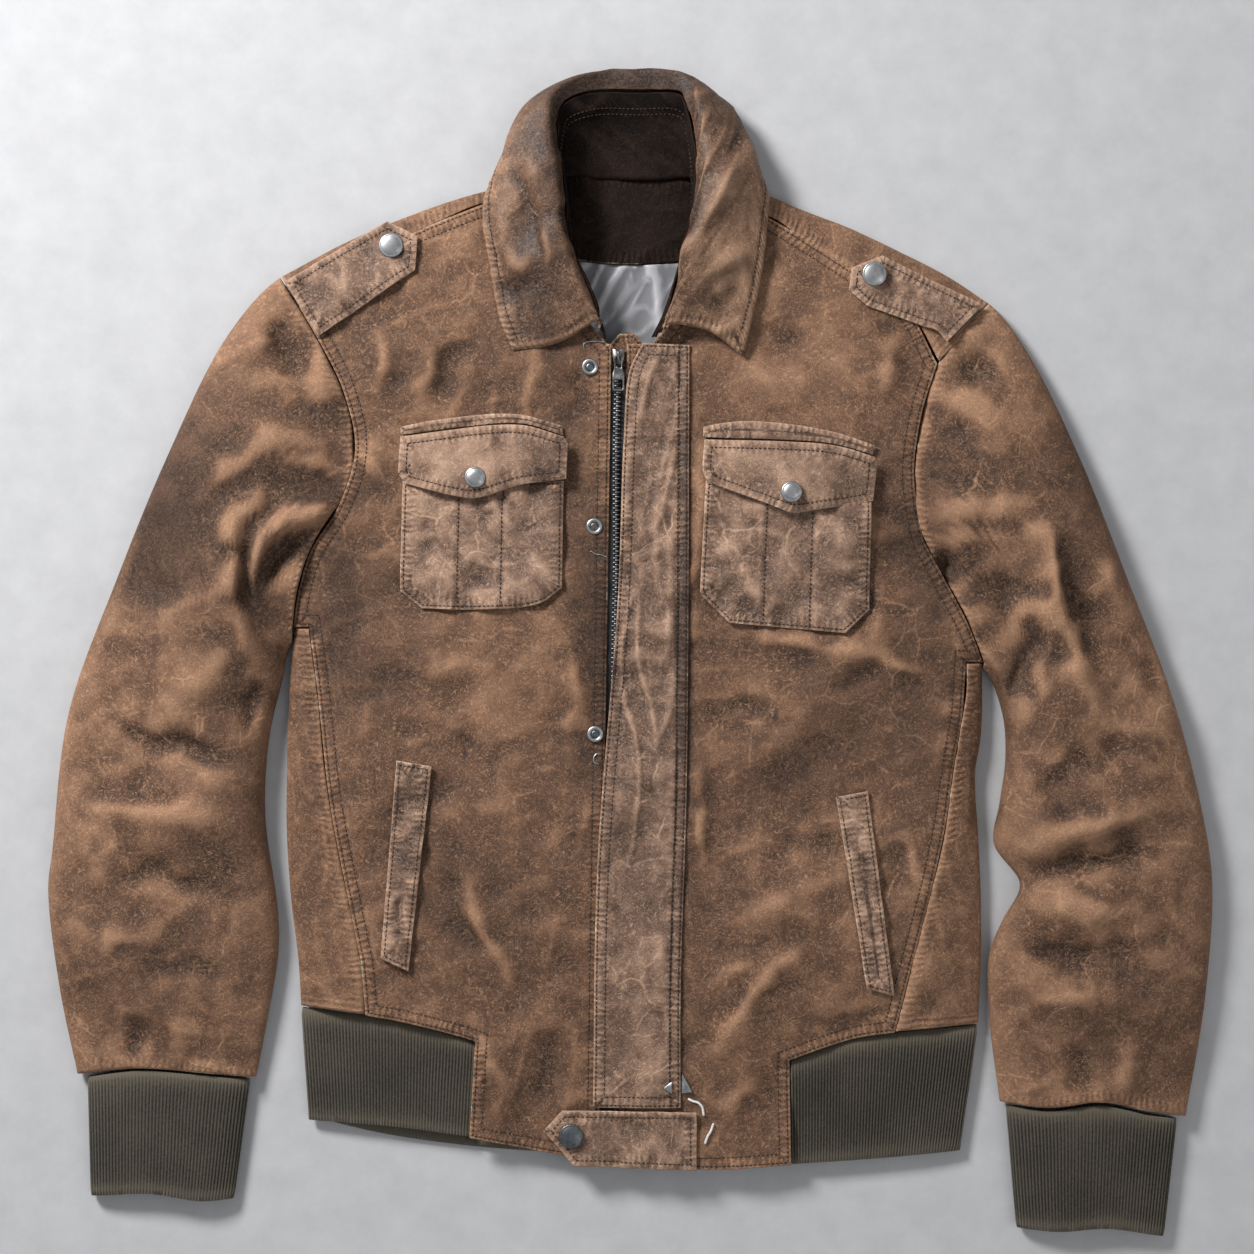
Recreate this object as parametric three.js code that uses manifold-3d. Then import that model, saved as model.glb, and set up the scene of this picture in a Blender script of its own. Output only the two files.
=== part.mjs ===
// A worn leather field jacket with a rib-knit hem and cuffs, laid flat on its back and zipped up.
// Millimetres. The surface it lies on is z = 0, +Y runs towards the collar, and +X is the wearer's left.
// Each cut piece of the garment is one thin-walled solid; pieces that are sewn together stand a hair apart.

import * as THREE from 'three';
import { mergeVertices } from 'three/addons/utils/BufferGeometryUtils.js';
import Module from 'manifold-3d';

const wasm = await Module();
wasm.setup();

// ---------------------------------------------------------------- driving dimensions

const CLOTH = 2.0; // leather with its lining
const STRAP = 2.2; // leather turned over on itself
const RIB_KNIT = 2.8; // doubled rib knit
const SEAM_GAP = 0.25; // each sewn edge stands back by this
const LAYER_GAP = 0.4; // between a panel and what lies on it
const GRID = 25; // pitch of the shared grid that all flat-laid pieces take their height from
const EDGE_TOP = 13; // height of the upper layer close to a folded side
const CROWN_TOP = 22; // height of the upper layer at the chest
const EDGE_SOFTNESS = 38; // how far in from a side the upper layer reaches its crown
const HEM_Y = -340;
const HEM_FADE = 150; // the body flattens over this length towards the hem
const HEM_RISE_SHARE = 0.35;
const FOLD_MID = 6; // height of the outermost line of a folded side
const SIDE_UNDER = 22; // how far the side panels turn in under the body
const ZIP_GAP = 10; // between the two front edges

const LEATHER = { color: 0x6b4a35, roughness: 0.8, metalness: 0 };
const LEATHER_LIGHT = { color: 0x80573c, roughness: 0.75, metalness: 0 };
const RIB = { color: 0x37332b, roughness: 1, metalness: 0 };
const LINING = { color: 0x3a3638, roughness: 0.5, metalness: 0 };
const METAL = { color: 0x7d8084, roughness: 0.35, metalness: 1 };
const TAPE = { color: 0x2a2624, roughness: 0.9, metalness: 0 };

// ---------------------------------------------------------------- outlines

// The folded sides of the body, from the armpit down, and of the shoulders, from the sleeve in.
const SIDE = {
  right: [[-232, 18], [-235, -25], [-237, -87], [-237, -121], [-234, -169], [-229, -210], [-227, -243]],
  left: [[242, -6], [241, -56], [237, -83], [239, -124], [241, -169], [241, -207], [239, -255]],
};
const SHOULDER = {
  right: [[-241, 259], [-196, 283], [-158, 299], [-131, 309], [-101, 318], [-52, 330]],
  left: [[246, 241], [219, 259], [184, 277], [150, 293], [116, 306], [95, 315], [49, 330]],
};
// The seams that run beside those folds.
const SIDE_SEAM = {
  right: [[-221, 18], [-215, -27], [-210, -76], [-204, -116], [-198, -148], [-189, -190], [-184, -217], [-182, -248]],
  left: [[230, -6], [230, -25], [225, -56], [220, -87], [214, -128], [204, -169], [195, -203], [181, -260]],
};
const ARMHOLE = {
  right: [[-241, 259], [-215, 216], [-195, 174], [-189, 136], [-195, 111], [-218, 74], [-228, 44], [-232, 18]],
  left: [[246, 241], [217, 212], [200, 167], [194, 119], [198, 85], [215, 52], [230, 23], [242, -6]],
};
const NECKLINE = {
  right: [[-52, 318], [-49, 298], [-45, 273], [-38, 248], [-27, 225], [-16, 212]],
  left: [[49, 316], [47, 298], [42, 273], [35, 248], [25, 225], [14, 212]],
};
const HEM_SEAM = {
  right: [[-227, -243], [-182, -248], [-145, -255], [-107, -266]],
  left: [[239, -255], [181, -260], [150, -265], [109, -279]],
};
const ZIP_LINE = [[-8, 212], [-10, 146], [-10, 64], [-11, 9], [-11.5, -59], [-14, -142], [-16, -238], [-17, -348]];

// The sleeves: outer fold, inner fold, a line inside the armhole that they are trimmed back from, and the gathered
// end above the cuff.
const SLEEVE = {
  right: {
    head: [[-196, 276], [-184, 22]],
    outer: [[-196, 276], [-241, 259], [-278, 218], [-320, 133], [-354, 50], [-387, -42], [-398, -135], [-401, -162],
      [-393, -231], [-381, -289]],
    inner: [[-184, 22], [-215, 24], [-234, 6], [-240, -18], [-249, -57], [-252, -111], [-243, -179], [-243, -207],
      [-251, -255], [-258, -291]],
    end: [[-381, -289], [-337, -284], [-306, -286], [-258, -291]],
    cuffTop: [[-374, -291], [-337, -286], [-306, -288], [-262, -293]],
    cuffEnd: [[-372, -373], [-330, -371], [-296, -376], [-273, -375]],
  },
  left: {
    head: [[200, 262], [188, 10]],
    outer: [[200, 262], [246, 241], [274, 205], [308, 136], [342, 50], [373, -32], [394, -114], [400, -159],
      [395, -238], [382, -318]],
    inner: [[188, 10], [224, 3], [244, -12], [256, -42], [258, -73], [254, -103], [250, -131], [268, -159], [256, -184], [247, -207],
      [247, -251], [254, -308]],
    end: [[382, -318], [356, -314], [322, -307], [287, -311], [254, -308]],
    cuffTop: [[376, -320], [356, -317], [322, -310], [287, -314], [258, -311]],
    cuffEnd: [[367, -401], [328, -395], [294, -397], [265, -395]],
  },
};
const SLEEVE_HEIGHTS = [20, 28, 33, 34, 31, 26, 20]; // crown of the sleeve, from the armhole to its end
const CUFF_HEIGHTS = [18, 15];

// The largest folds, each a line with the height it adds and how wide it is. A negative height is a trough.
const BODY_FOLDS = [
  { line: [[50, 8], [90, 2], [165, -18], [222, -14]], height: 3, width: 20 },
  { line: [[45, -280], [95, -235], [160, -215]], height: 3, width: 22 },
  { line: [[-150, -180], [-110, -260]], height: 3, width: 20 },
  { line: [[-165, 180], [-130, 240]], height: 3, width: 20 },
];
const SLEEVE_FOLDS = {
  right: [
    { line: [[-193, 143], [-250, 105], [-266, 37], [-250, -25]], height: 6, width: 16 },
    { line: [[-206, 92], [-238, 64], [-236, 12]], height: -8, width: 12 },
    { line: [[-350, -46], [-296, -94], [-251, -105]], height: -6, width: 18 },
    { line: [[-335, -90], [-300, -120], [-251, -124]], height: 4, width: 14 },
  ],
  left: [
    { line: [[202, 95], [262, 98], [280, 64], [264, -32]], height: 6, width: 16 },
    { line: [[262, 30], [254, -40]], height: -7, width: 10 },
    { line: [[253, -131], [308, -121], [376, -94]], height: 5, width: 18 },
    { line: [[268, -159], [320, -165], [385, -150]], height: -5, width: 18 },
  ],
};

// ---------------------------------------------------------------- curves and heights

const along = (points) =>
  new THREE.CatmullRomCurve3(points.map(([x, y, z = 0]) => new THREE.Vector3(x, y, z)), false, 'centripetal');
const evenly = (count) => Array.from({ length: count + 1 }, (_, i) => i / count);
// Shares that crowd towards both ends, as the points round a flattened tube do.
const crowded = (count) => evenly(count).map((share) => (1 - Math.cos(Math.PI * share)) / 2);
const sampled = (points, shares) => {
  const curve = along(points);
  return shares.map((share) => curve.getPointAt(share).toArray().slice(0, 2));
};
const reversed = (points) => [...points].reverse();
const shifted = (points, dx, dy = 0) => points.map(([x, y]) => [x + dx, y + dy]);
const smooth = (share) => {
  const s = Math.min(1, Math.max(0, share));
  return s * s * (3 - 2 * s);
};

function distanceToLine(x, y, line) {
  let best = Infinity;
  for (let i = 1; i < line.length; i++) {
    const [ax, ay] = line[i - 1];
    const [bx, by] = line[i];
    const lengthSquared = (bx - ax) ** 2 + (by - ay) ** 2;
    const share = Math.min(1, Math.max(0, ((x - ax) * (bx - ax) + (y - ay) * (by - ay)) / lengthSquared));
    best = Math.min(best, Math.hypot(x - ax - share * (bx - ax), y - ay - share * (by - ay)));
  }
  return best;
}

const foldHeight = (folds, x, y) =>
  folds.reduce((sum, { line, height, width }) =>
    sum + height * Math.exp(-((distanceToLine(x, y, line) / width) ** 2) * 2), 0);

// Height of the body's upper layer. It is rounded at the folded sides and flattens towards the hem.
const FOLDED_EDGES = [SIDE.right, SIDE.left, SHOULDER.right, SHOULDER.left];
function bodyTop(x, y) {
  const inwards = Math.min(...FOLDED_EDGES.map((edge) => distanceToLine(x, y, edge)));
  const fullness = HEM_RISE_SHARE + (1 - HEM_RISE_SHARE) * smooth((y - HEM_Y) / HEM_FADE);
  const crown = (CROWN_TOP - EDGE_TOP) * fullness * (1 - Math.exp(-inwards / EDGE_SOFTNESS));
  return EDGE_TOP + crown + foldHeight(BODY_FOLDS, x, y) * smooth(inwards / EDGE_SOFTNESS);
}

const gridTop = (i, j) => bodyTop(i * GRID, j * GRID);

// Height of that layer as its grid's facets have it.
function facetTop(x, y) {
  const i = Math.floor(x / GRID);
  const j = Math.floor(y / GRID);
  const u = x / GRID - i;
  const v = y / GRID - j;
  const corner = gridTop(i, j);
  const opposite = gridTop(i + 1, j + 1);
  return u > v
    ? corner + u * (gridTop(i + 1, j) - corner) + v * (opposite - gridTop(i + 1, j))
    : corner + v * (gridTop(i, j + 1) - corner) + u * (opposite - gridTop(i, j + 1));
}

// ---------------------------------------------------------------- solids

const toSolid = (positions, triangles) =>
  new wasm.Manifold(new wasm.Mesh({
    numProp: 3, vertProperties: new Float32Array(positions), triVerts: new Uint32Array(triangles),
  }));

function solidOf(geometry) {
  const bare = geometry.clone();
  bare.deleteAttribute('normal');
  bare.deleteAttribute('uv');
  const merged = mergeVertices(bare, 1e-4);
  return toSolid(merged.attributes.position.array, merged.index.array);
}

function geometryOf(solid) {
  const mesh = solid.getMesh();
  const positions = new Float32Array(mesh.numVert * 3);
  for (let i = 0; i < mesh.numVert; i++) {
    positions.set(mesh.vertProperties.subarray(i * mesh.numProp, i * mesh.numProp + 3), i * 3);
  }
  const geometry = new THREE.BufferGeometry()
    .setAttribute('position', new THREE.BufferAttribute(positions, 3))
    .setIndex(new THREE.BufferAttribute(mesh.triVerts, 1));
  geometry.computeVertexNormals();
  return geometry;
}

function insetOutline(outline, gap) {
  const count = outline.length;
  const area = outline.reduce((sum, [x, y], i) => {
    const [nx, ny] = outline[(i + 1) % count];
    return sum + x * ny - nx * y;
  }, 0);
  const turn = Math.sign(area);
  return outline.map(([x, y], i) => {
    const [px, py] = outline[(i + count - 1) % count];
    const [nx, ny] = outline[(i + 1) % count];
    const before = new THREE.Vector2(x - px, y - py).normalize();
    const after = new THREE.Vector2(nx - x, ny - y).normalize();
    const inward = new THREE.Vector2(-before.y - after.y, before.x + after.x).multiplyScalar(turn);
    const halfLength = Math.max(inward.length() / 2, 0.4);
    inward.normalize().multiplyScalar(gap / halfLength);
    return [x + inward.x, y + inward.y];
  });
}

function prism(outline, low, high) {
  const shape = new THREE.Shape(outline.map(([x, y]) => new THREE.Vector2(x, y)));
  const geometry = new THREE.ExtrudeGeometry(shape, { depth: high - low, bevelEnabled: false });
  return solidOf(geometry.translate(0, 0, low));
}

// A sheet that follows the body's upper layer, from low to high above it, cut to an outline.
function bodySheet(outline, low, high) {
  const xs = outline.map(([x]) => x);
  const ys = outline.map(([, y]) => y);
  const i0 = Math.floor(Math.min(...xs) / GRID);
  const i1 = Math.ceil(Math.max(...xs) / GRID);
  const j0 = Math.floor(Math.min(...ys) / GRID);
  const j1 = Math.ceil(Math.max(...ys) / GRID);
  const across = i1 - i0 + 1;
  const layer = across * (j1 - j0 + 1);
  const positions = [];
  for (const offset of [low, high]) {
    for (let j = j0; j <= j1; j++) {
      for (let i = i0; i <= i1; i++) positions.push(i * GRID, j * GRID, gridTop(i, j) + offset);
    }
  }
  const at = (i, j) => (j - j0) * across + (i - i0);
  const triangles = [];
  for (let j = j0; j < j1; j++) {
    for (let i = i0; i < i1; i++) {
      const [a, b, c, d] = [at(i, j), at(i + 1, j), at(i + 1, j + 1), at(i, j + 1)];
      triangles.push(a, c, b, a, d, c, a + layer, b + layer, c + layer, a + layer, c + layer, d + layer);
    }
  }
  const wall = (a, b) => triangles.push(a, b, b + layer, a, b + layer, a + layer);
  for (let i = i0; i < i1; i++) {
    wall(at(i, j0), at(i + 1, j0));
    wall(at(i + 1, j1), at(i, j1));
  }
  for (let j = j0; j < j1; j++) {
    wall(at(i1, j), at(i1, j + 1));
    wall(at(i0, j + 1), at(i0, j));
  }
  return toSolid(positions, triangles).intersect(prism(outline, -10, 80));
}

// A wall over the surface place(u, v), which is its outer face. inward is 1 or -1, the side its thickness goes to.
function wall(place, countU, countV, thickness, inward, closedV = false) {
  const step = 1e-3;
  const normalAt = (u, v) => {
    const u0 = Math.max(0, u - step);
    const u1 = Math.min(1, u + step);
    const v0 = closedV ? v - step : Math.max(0, v - step);
    const v1 = closedV ? v + step : Math.min(1, v + step);
    const du = place(u1, v).sub(place(u0, v));
    const dv = place(u, v1).sub(place(u, v0));
    return du.cross(dv).normalize().multiplyScalar(inward);
  };
  const columns = closedV ? countV : countV + 1;
  const outer = [];
  const inner = [];
  for (let i = 0; i <= countU; i++) {
    for (let j = 0; j < columns; j++) {
      const [u, v] = [i / countU, j / countV];
      const point = place(u, v);
      outer.push(...point.toArray());
      inner.push(...point.addScaledVector(normalAt(u, v), thickness).toArray());
    }
  }
  const layer = (countU + 1) * columns;
  const at = (i, j) => i * columns + (closedV ? j % columns : j);
  const triangles = [];
  const quad = (a, b, c, d) => triangles.push(a, b, c, a, c, d);
  for (let i = 0; i < countU; i++) {
    for (let j = 0; j < countV; j++) {
      const [a, b, c, d] = [at(i, j), at(i + 1, j), at(i + 1, j + 1), at(i, j + 1)];
      quad(a, b, c, d);
      quad(a + layer, d + layer, c + layer, b + layer);
    }
  }
  const rim = (a, b) => quad(b, a, a + layer, b + layer);
  for (let j = 0; j < countV; j++) {
    rim(at(0, j + 1), at(0, j));
    rim(at(countU, j), at(countU, j + 1));
  }
  if (!closedV) {
    for (let i = 0; i < countU; i++) {
      rim(at(i, 0), at(i + 1, 0));
      rim(at(i + 1, countV), at(i, countV));
    }
  }
  const made = toSolid([...outer, ...inner], triangles);
  if (made.volume() > 0) return made;
  const turned = triangles.map((_, k) => triangles[k - (k % 3) + [0, 2, 1][k % 3]]);
  return toSolid([...outer, ...inner], turned);
}

const group = new THREE.Group();
function add(name, solid, finish) {
  const mesh = new THREE.Mesh(geometryOf(solid), new THREE.MeshStandardMaterial(finish));
  mesh.name = name;
  group.add(mesh);
  return mesh;
}

// ---------------------------------------------------------------- rib-knit hem

const RIB_TOP = {
  right: [[-107.6, -266.6], [-145, -255.6], [-182, -248.6], [-227, -243.6]],
  left: [[109.6, -279.6], [150, -265.6], [181, -260.6], [239, -255.6]],
};
const RIB_END = {
  right: [[-111.6, -332], [-165, -325], [-222, -321]],
  left: [[110.6, -351], [171, -347], [227, -342]],
};
const RIB_HEIGHT_TOP = 14;
const RIB_HEIGHT_END = 11;
const RIB_BACK_TOP = -262; // the rib meets the back here, hidden underneath

// Round the hem from one front edge, round the back, to the other front edge.
function ribLoop(lines, height, backY) {
  const [right, left] = [along(lines.right), along(lines.left)];
  const foldX = { right: lines.right.at(-1)[0], left: lines.left.at(-1)[0] };
  return (v) => {
    const side = v < 0.5 ? 'right' : 'left';
    const share = v < 0.5 ? v * 2 : (1 - v) * 2; // 0 at a front edge, 1 at the middle of the back
    const front = Math.min(1, share / 0.6);
    if (share <= 0.6) {
      const point = (side === 'right' ? right : left).getPointAt(Math.sin((front * Math.PI) / 2));
      point.z = FOLD_MID + (height - FOLD_MID) * Math.cos((front * Math.PI) / 2) ** 0.6;
      return point;
    }
    const back = (share - 0.6) / 0.4;
    const under = Math.sin((back * Math.PI) / 2);
    const foldY = lines[side].at(-1)[1];
    return new THREE.Vector3(
      foldX[side] * (1 - back * back), foldY + (backY - foldY) * smooth(back), FOLD_MID * (1 - under ** 0.4));
  };
}
const ribTop = ribLoop(RIB_TOP, RIB_HEIGHT_TOP, RIB_BACK_TOP);
const ribEnd = ribLoop(RIB_END, RIB_HEIGHT_END, -345);
add('hem_rib', wall((u, v) => new THREE.Vector3().lerpVectors(ribTop(v), ribEnd(v), u), 2, 34, RIB_KNIT, 1), RIB);

// ---------------------------------------------------------------- body: back, fronts, side panels, yoke ends

const SLEEVE_RING = 10; // steps across one side of a sleeve, shared with the panels' armhole edges
const SIDE_STEPS = 7;
const YOKE_STEPS = 5;
const armholeEdge = (side) => sampled(ARMHOLE[side], crowded(SLEEVE_RING));
// Where the front shoulder seam meets the armhole, as a step of the armhole's edge.
const SEAM_STEP = { right: 2, left: 3 };
const shoulderSeam = {
  right: [[-52, 318], [-101, 309], [-145, 290], [-193, 268], armholeEdge('right')[SEAM_STEP.right]],
  left: [[49, 316], [100, 297], [116, 285], [148, 264], [184, 242], armholeEdge('left')[SEAM_STEP.left]],
};

for (const side of ['right', 'left']) {
  const towards = side === 'right' ? -1 : 1;
  const frontEdge = shifted(sampled(ZIP_LINE, evenly(10)), (towards * ZIP_GAP) / 2);
  const ribSide = side === 'right' ? [[-111, -332], [-107, -266]] : [[110, -351], [109, -279]];
  const hemPoints = side === 'right' ? [[-56, -343]] : [[45, -354]];
  const outline = [
    ...sampled(NECKLINE[side], evenly(6)),
    ...frontEdge,
    ...hemPoints,
    ...ribSide,
    ...reversed(sampled(HEM_SEAM[side].slice(1), evenly(3))).slice(1),
    ...reversed(sampled(SIDE_SEAM[side], evenly(SIDE_STEPS))).slice(1),
    ...reversed(armholeEdge(side)).slice(0, -SEAM_STEP[side]),
    ...reversed(sampled(shoulderSeam[side], evenly(YOKE_STEPS))).slice(1, -1),
  ];
  add(`front_${side}`, bodySheet(insetOutline(outline, SEAM_GAP), -CLOTH, 0), LEATHER);
}

// A panel that starts at a seam on the upper layer, goes over a folded side and ends underneath.
function foldedPanel(seam, edge, under, steps, from, to, side) {
  const [seamCurve, edgeCurve, underCurve] = [seam, edge, under].map(along);
  const place = (u, v) => {
    const share = from + (to - from) * u;
    const top = seamCurve.getPointAt(share);
    const fold = edgeCurve.getPointAt(share);
    const angle = Math.PI * v;
    const start = angle < Math.PI / 2 ? top : underCurve.getPointAt(share);
    const gap = SEAM_GAP / top.distanceTo(fold);
    const point = new THREE.Vector3().lerpVectors(start, fold, gap + (1 - gap) * Math.sin(angle));
    const height = angle < Math.PI / 2
      ? FOLD_MID + (facetTop(point.x, point.y) - FOLD_MID) * Math.cos(angle) ** 0.7
      : FOLD_MID * (1 + Math.cos(angle));
    return point.setZ(height);
  };
  return wall(place, steps, 8, CLOTH, side === 'right' ? 1 : -1);
}

const aboveArmhole = (side) => [[0, 350], [ARMHOLE[side][0][0], 350]];
for (const side of ['right', 'left']) {
  const inwards = side === 'right' ? 1 : -1;
  add(`side_panel_${side}`,
    foldedPanel(SIDE_SEAM[side], SIDE[side], shifted(SIDE[side], inwards * SIDE_UNDER), SIDE_STEPS, 0.008, 0.998, side),
    LEATHER);
  const yoke = foldedPanel(reversed(shoulderSeam[side]), SHOULDER[side], reversed(shoulderSeam[side]), YOKE_STEPS, 0,
    0.995, side === 'right' ? 'left' : 'right');
  const bodySide = insetOutline([...aboveArmhole(side), ...armholeEdge(side), [0, 18]], SEAM_GAP);
  add(`yoke_${side}`, yoke.intersect(prism(bodySide, -1, 60)), LEATHER);
}

const backHem = evenly(16)
  .map((share) => ribTop(0.7 - 0.4 * share))
  .filter(({ x }) => x > -200 && x < 210)
  .map(({ x, y }) => [x, y + 0.4]);
const backOutline = [
  ...shifted(sampled(SIDE.right, evenly(SIDE_STEPS)), SIDE_UNDER + 0.8).reverse(),
  ...reversed(armholeEdge('right')).slice(0, -SEAM_STEP.right),
  ...reversed(sampled(shoulderSeam.right, evenly(YOKE_STEPS))).slice(1),
  [-48, 331], [-30, 334], [30, 334], [46, 330],
  ...sampled(shoulderSeam.left, evenly(YOKE_STEPS)),
  ...armholeEdge('left').slice(SEAM_STEP.left + 1),
  ...shifted(sampled(SIDE.left, evenly(SIDE_STEPS)), -SIDE_UNDER - 0.8),
  ...backHem,
];
add('back', prism(insetOutline(backOutline, 2 * SEAM_GAP), 0, CLOTH), LEATHER);

// What shows of the inside through the neck: a leather facing below the collar and the lining under it.
const INSIDE_GAP = 0.4;
add('back_facing', prism([[-50, 330], [-58, 275], [-30, 270], [0, 268], [32, 270], [56, 275], [47, 329]],
  CLOTH + INSIDE_GAP, CLOTH + INSIDE_GAP + 1.6), LEATHER);
add('lining', prism([[-62, 274.5], [-30, 269.4], [0, 267.4], [32, 269.4], [60, 274.5], [70, 170], [-74, 170]],
  CLOTH + INSIDE_GAP, CLOTH + INSIDE_GAP + 1), LINING);

// ---------------------------------------------------------------- sleeves and cuffs

function heightAlong(heights, share) {
  const at = share * (heights.length - 1);
  const i = Math.min(heights.length - 2, Math.floor(at));
  return heights[i] + (heights[i + 1] - heights[i]) * smooth(at - i);
}

// A flattened tube between four curves: two folds and the lines across its two ends.
function flatTube(outer, inner, start, end, heights, folds, foldMid, countU, countV, thickness, inward) {
  const [outerCurve, innerCurve, startCurve, endCurve] = [outer, inner, start, end].map(along);
  const place = (u, v) => {
    const angle = 2 * Math.PI * (v - Math.floor(v));
    const across = (1 - Math.cos(angle)) / 2;
    const [o, i] = [outerCurve.getPointAt(u), innerCurve.getPointAt(u)];
    const [s, e] = [startCurve.getPointAt(across), endCurve.getPointAt(across)];
    const point = new THREE.Vector3().lerpVectors(o, i, across).add(new THREE.Vector3().lerpVectors(s, e, u));
    const corners = new THREE.Vector3().lerpVectors(
      new THREE.Vector3().lerpVectors(outerCurve.getPointAt(0), innerCurve.getPointAt(0), across),
      new THREE.Vector3().lerpVectors(outerCurve.getPointAt(1), innerCurve.getPointAt(1), across), u);
    point.sub(corners);
    const bulge = Math.abs(Math.sin(angle));
    const crown = heightAlong(heights, u) - foldMid;
    point.z = angle <= Math.PI
      ? foldMid + crown * bulge ** 0.7 + foldHeight(folds, point.x, point.y) * smooth(1.3 * bulge)
      : foldMid * (1 - Math.min(1, 1.15 * bulge ** 0.5));
    return point;
  };
  return wall(place, countU, countV, thickness, inward, true);
}

for (const side of ['right', 'left']) {
  const { head, outer, inner, end, cuffTop, cuffEnd } = SLEEVE[side];
  const inward = side === 'right' ? -1 : 1;
  const sleeve = flatTube(outer, inner, head, end, SLEEVE_HEIGHTS, SLEEVE_FOLDS[side], FOLD_MID, 13,
    2 * SLEEVE_RING, CLOTH, inward);
  const bodySide = [...aboveArmhole(side), ...armholeEdge(side), ...SIDE[side].slice(1, 3), [0, -87]];
  add(`sleeve_${side}`, sleeve.subtract(prism(bodySide, -1, 60)), LEATHER);
  add(`cuff_${side}`,
    flatTube([cuffTop[0], cuffEnd[0]], [cuffTop.at(-1), cuffEnd.at(-1)], cuffTop, cuffEnd, CUFF_HEIGHTS, [], FOLD_MID,
      2, 16, RIB_KNIT, inward), RIB);
}

// ---------------------------------------------------------------- collar

// Sections of the collar from its right front tip, round the back of the neck, to the left one. Each goes from
// the outer edge of the leaf over the fold and down inside to the neck seam.
const COLLAR = [
  [[-81, 207, 25.5], [-51, 211, 29], [-21, 226, 33], [-18, 221, 29], [-17, 215, 25]],
  [[-92, 234, 25.5], [-64, 242, 33], [-34, 248, 40], [-27, 246, 33], [-24, 238, 24]],
  [[-99, 277, 25], [-75, 285, 36], [-48, 284, 44], [-41, 282, 34], [-38, 273, 21]],
  [[-103, 303, 24], [-81, 314, 35], [-51, 318, 44], [-44, 316, 33], [-44, 306, 18]],
  [[-94, 330, 20], [-83, 349, 31], [-56, 354, 41], [-49, 351, 30], [-47, 326, 14]],
  [[-71, 352, 7], [-74, 377, 18], [-55, 382, 32], [-47, 373, 24], [-41, 336, 9]],
  [[-35, 362, 3.6], [-33, 394, 10], [-27, 398, 18], [-25, 382, 15], [-21, 337, 8]],
  [[6, 363, 3.6], [6, 399, 9], [6, 401, 17], [6, 381, 15], [6, 337, 8]],
  [[47, 360, 3.6], [51, 389, 11], [42, 395, 20], [36, 381, 17], [34, 337, 8]],
  [[82, 342, 9], [74, 369, 20], [47, 374, 35], [39, 365, 26], [40, 333, 9]],
  [[95, 316, 22], [82, 332, 32], [51, 340, 43], [43, 335, 31], [43, 314, 15]],
  [[93, 287, 25], [74, 301, 36], [49, 306, 45], [41, 304, 34], [41, 293, 19]],
  [[89, 252, 25.5], [66, 264, 36], [40, 266, 42], [33, 263, 34], [31, 253, 22]],
  [[77, 203, 27], [51, 220, 31], [23, 223, 34], [19, 219, 29], [14, 216, 25]],
];
const LEAF_SHARE = 0.68; // the leaf takes this much of each section, and the stand the rest
const collarLines = COLLAR[0].map((_, k) =>
  new THREE.CatmullRomCurve3(COLLAR.map((section) => new THREE.Vector3(...section[k])), false, 'centripetal'));
const collarAt = (from, to) => (u, v) => {
  const section = new THREE.CatmullRomCurve3(collarLines.map((line) => line.getPoint(u)), false, 'centripetal');
  return section.getPoint(from + (to - from) * v);
};
add('collar_leaf', wall(collarAt(0, LEAF_SHARE), 24, 6, STRAP, 1), LEATHER);
add('collar_stand', wall(collarAt(LEAF_SHARE + 0.03, 1), 24, 2, 1.6, 1), LEATHER);

// ---------------------------------------------------------------- zip

const TAPE_LOW = -CLOTH - LAYER_GAP - 0.8;
const TAPE_HIGH = -CLOTH - LAYER_GAP;
const TAPE_HALF = 12;
const CHAIN_HALF = 2.8;
const CHAIN_TOP = 0; // level with the fronts
const ZIP_FOOT = -306; // the chain ends here, under the hem tab
const zipSteps = sampled(ZIP_LINE, evenly(10));
// A strip between two offsets from the zip's line, from one height to another.
function zipStrip(left, right, topY, footY) {
  const edge = (dx) => shifted(zipSteps.filter(([, y]) => y < topY && y > footY), dx);
  const [topX] = zipSteps[0];
  const [footX] = zipSteps.at(-1);
  return [[topX + left, topY], ...edge(left), [footX + left, footY], [footX + right, footY], ...reversed(edge(right)),
    [topX + right, topY]];
}
// A small rounded tab sewn behind the top of the zip, so that the slider does not rub the chin.
add('zip_guard', bodySheet([[-14, 197], [-14, 212], [-8, 219], [3, 219], [8, 212], [8, 197]], TAPE_LOW - 1.6,
  TAPE_LOW - 0.3), LEATHER);

const SLIDER_Y = 203;
const SLIDER_LONG = 12;
const TAPE_FOOT = -330;
add('zip_tape_right', bodySheet(zipStrip(-TAPE_HALF, -0.2, SLIDER_Y - 8, TAPE_FOOT), TAPE_LOW, TAPE_HIGH), TAPE);
add('zip_tape_left', bodySheet(zipStrip(0.2, TAPE_HALF, SLIDER_Y - 8, TAPE_FOOT), TAPE_LOW, TAPE_HIGH), TAPE);
add('zip_chain', bodySheet(zipStrip(-CHAIN_HALF, CHAIN_HALF, SLIDER_Y - SLIDER_LONG / 2 - 0.5, ZIP_FOOT),
  TAPE_HIGH + 0.3, CHAIN_TOP), METAL);

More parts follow.
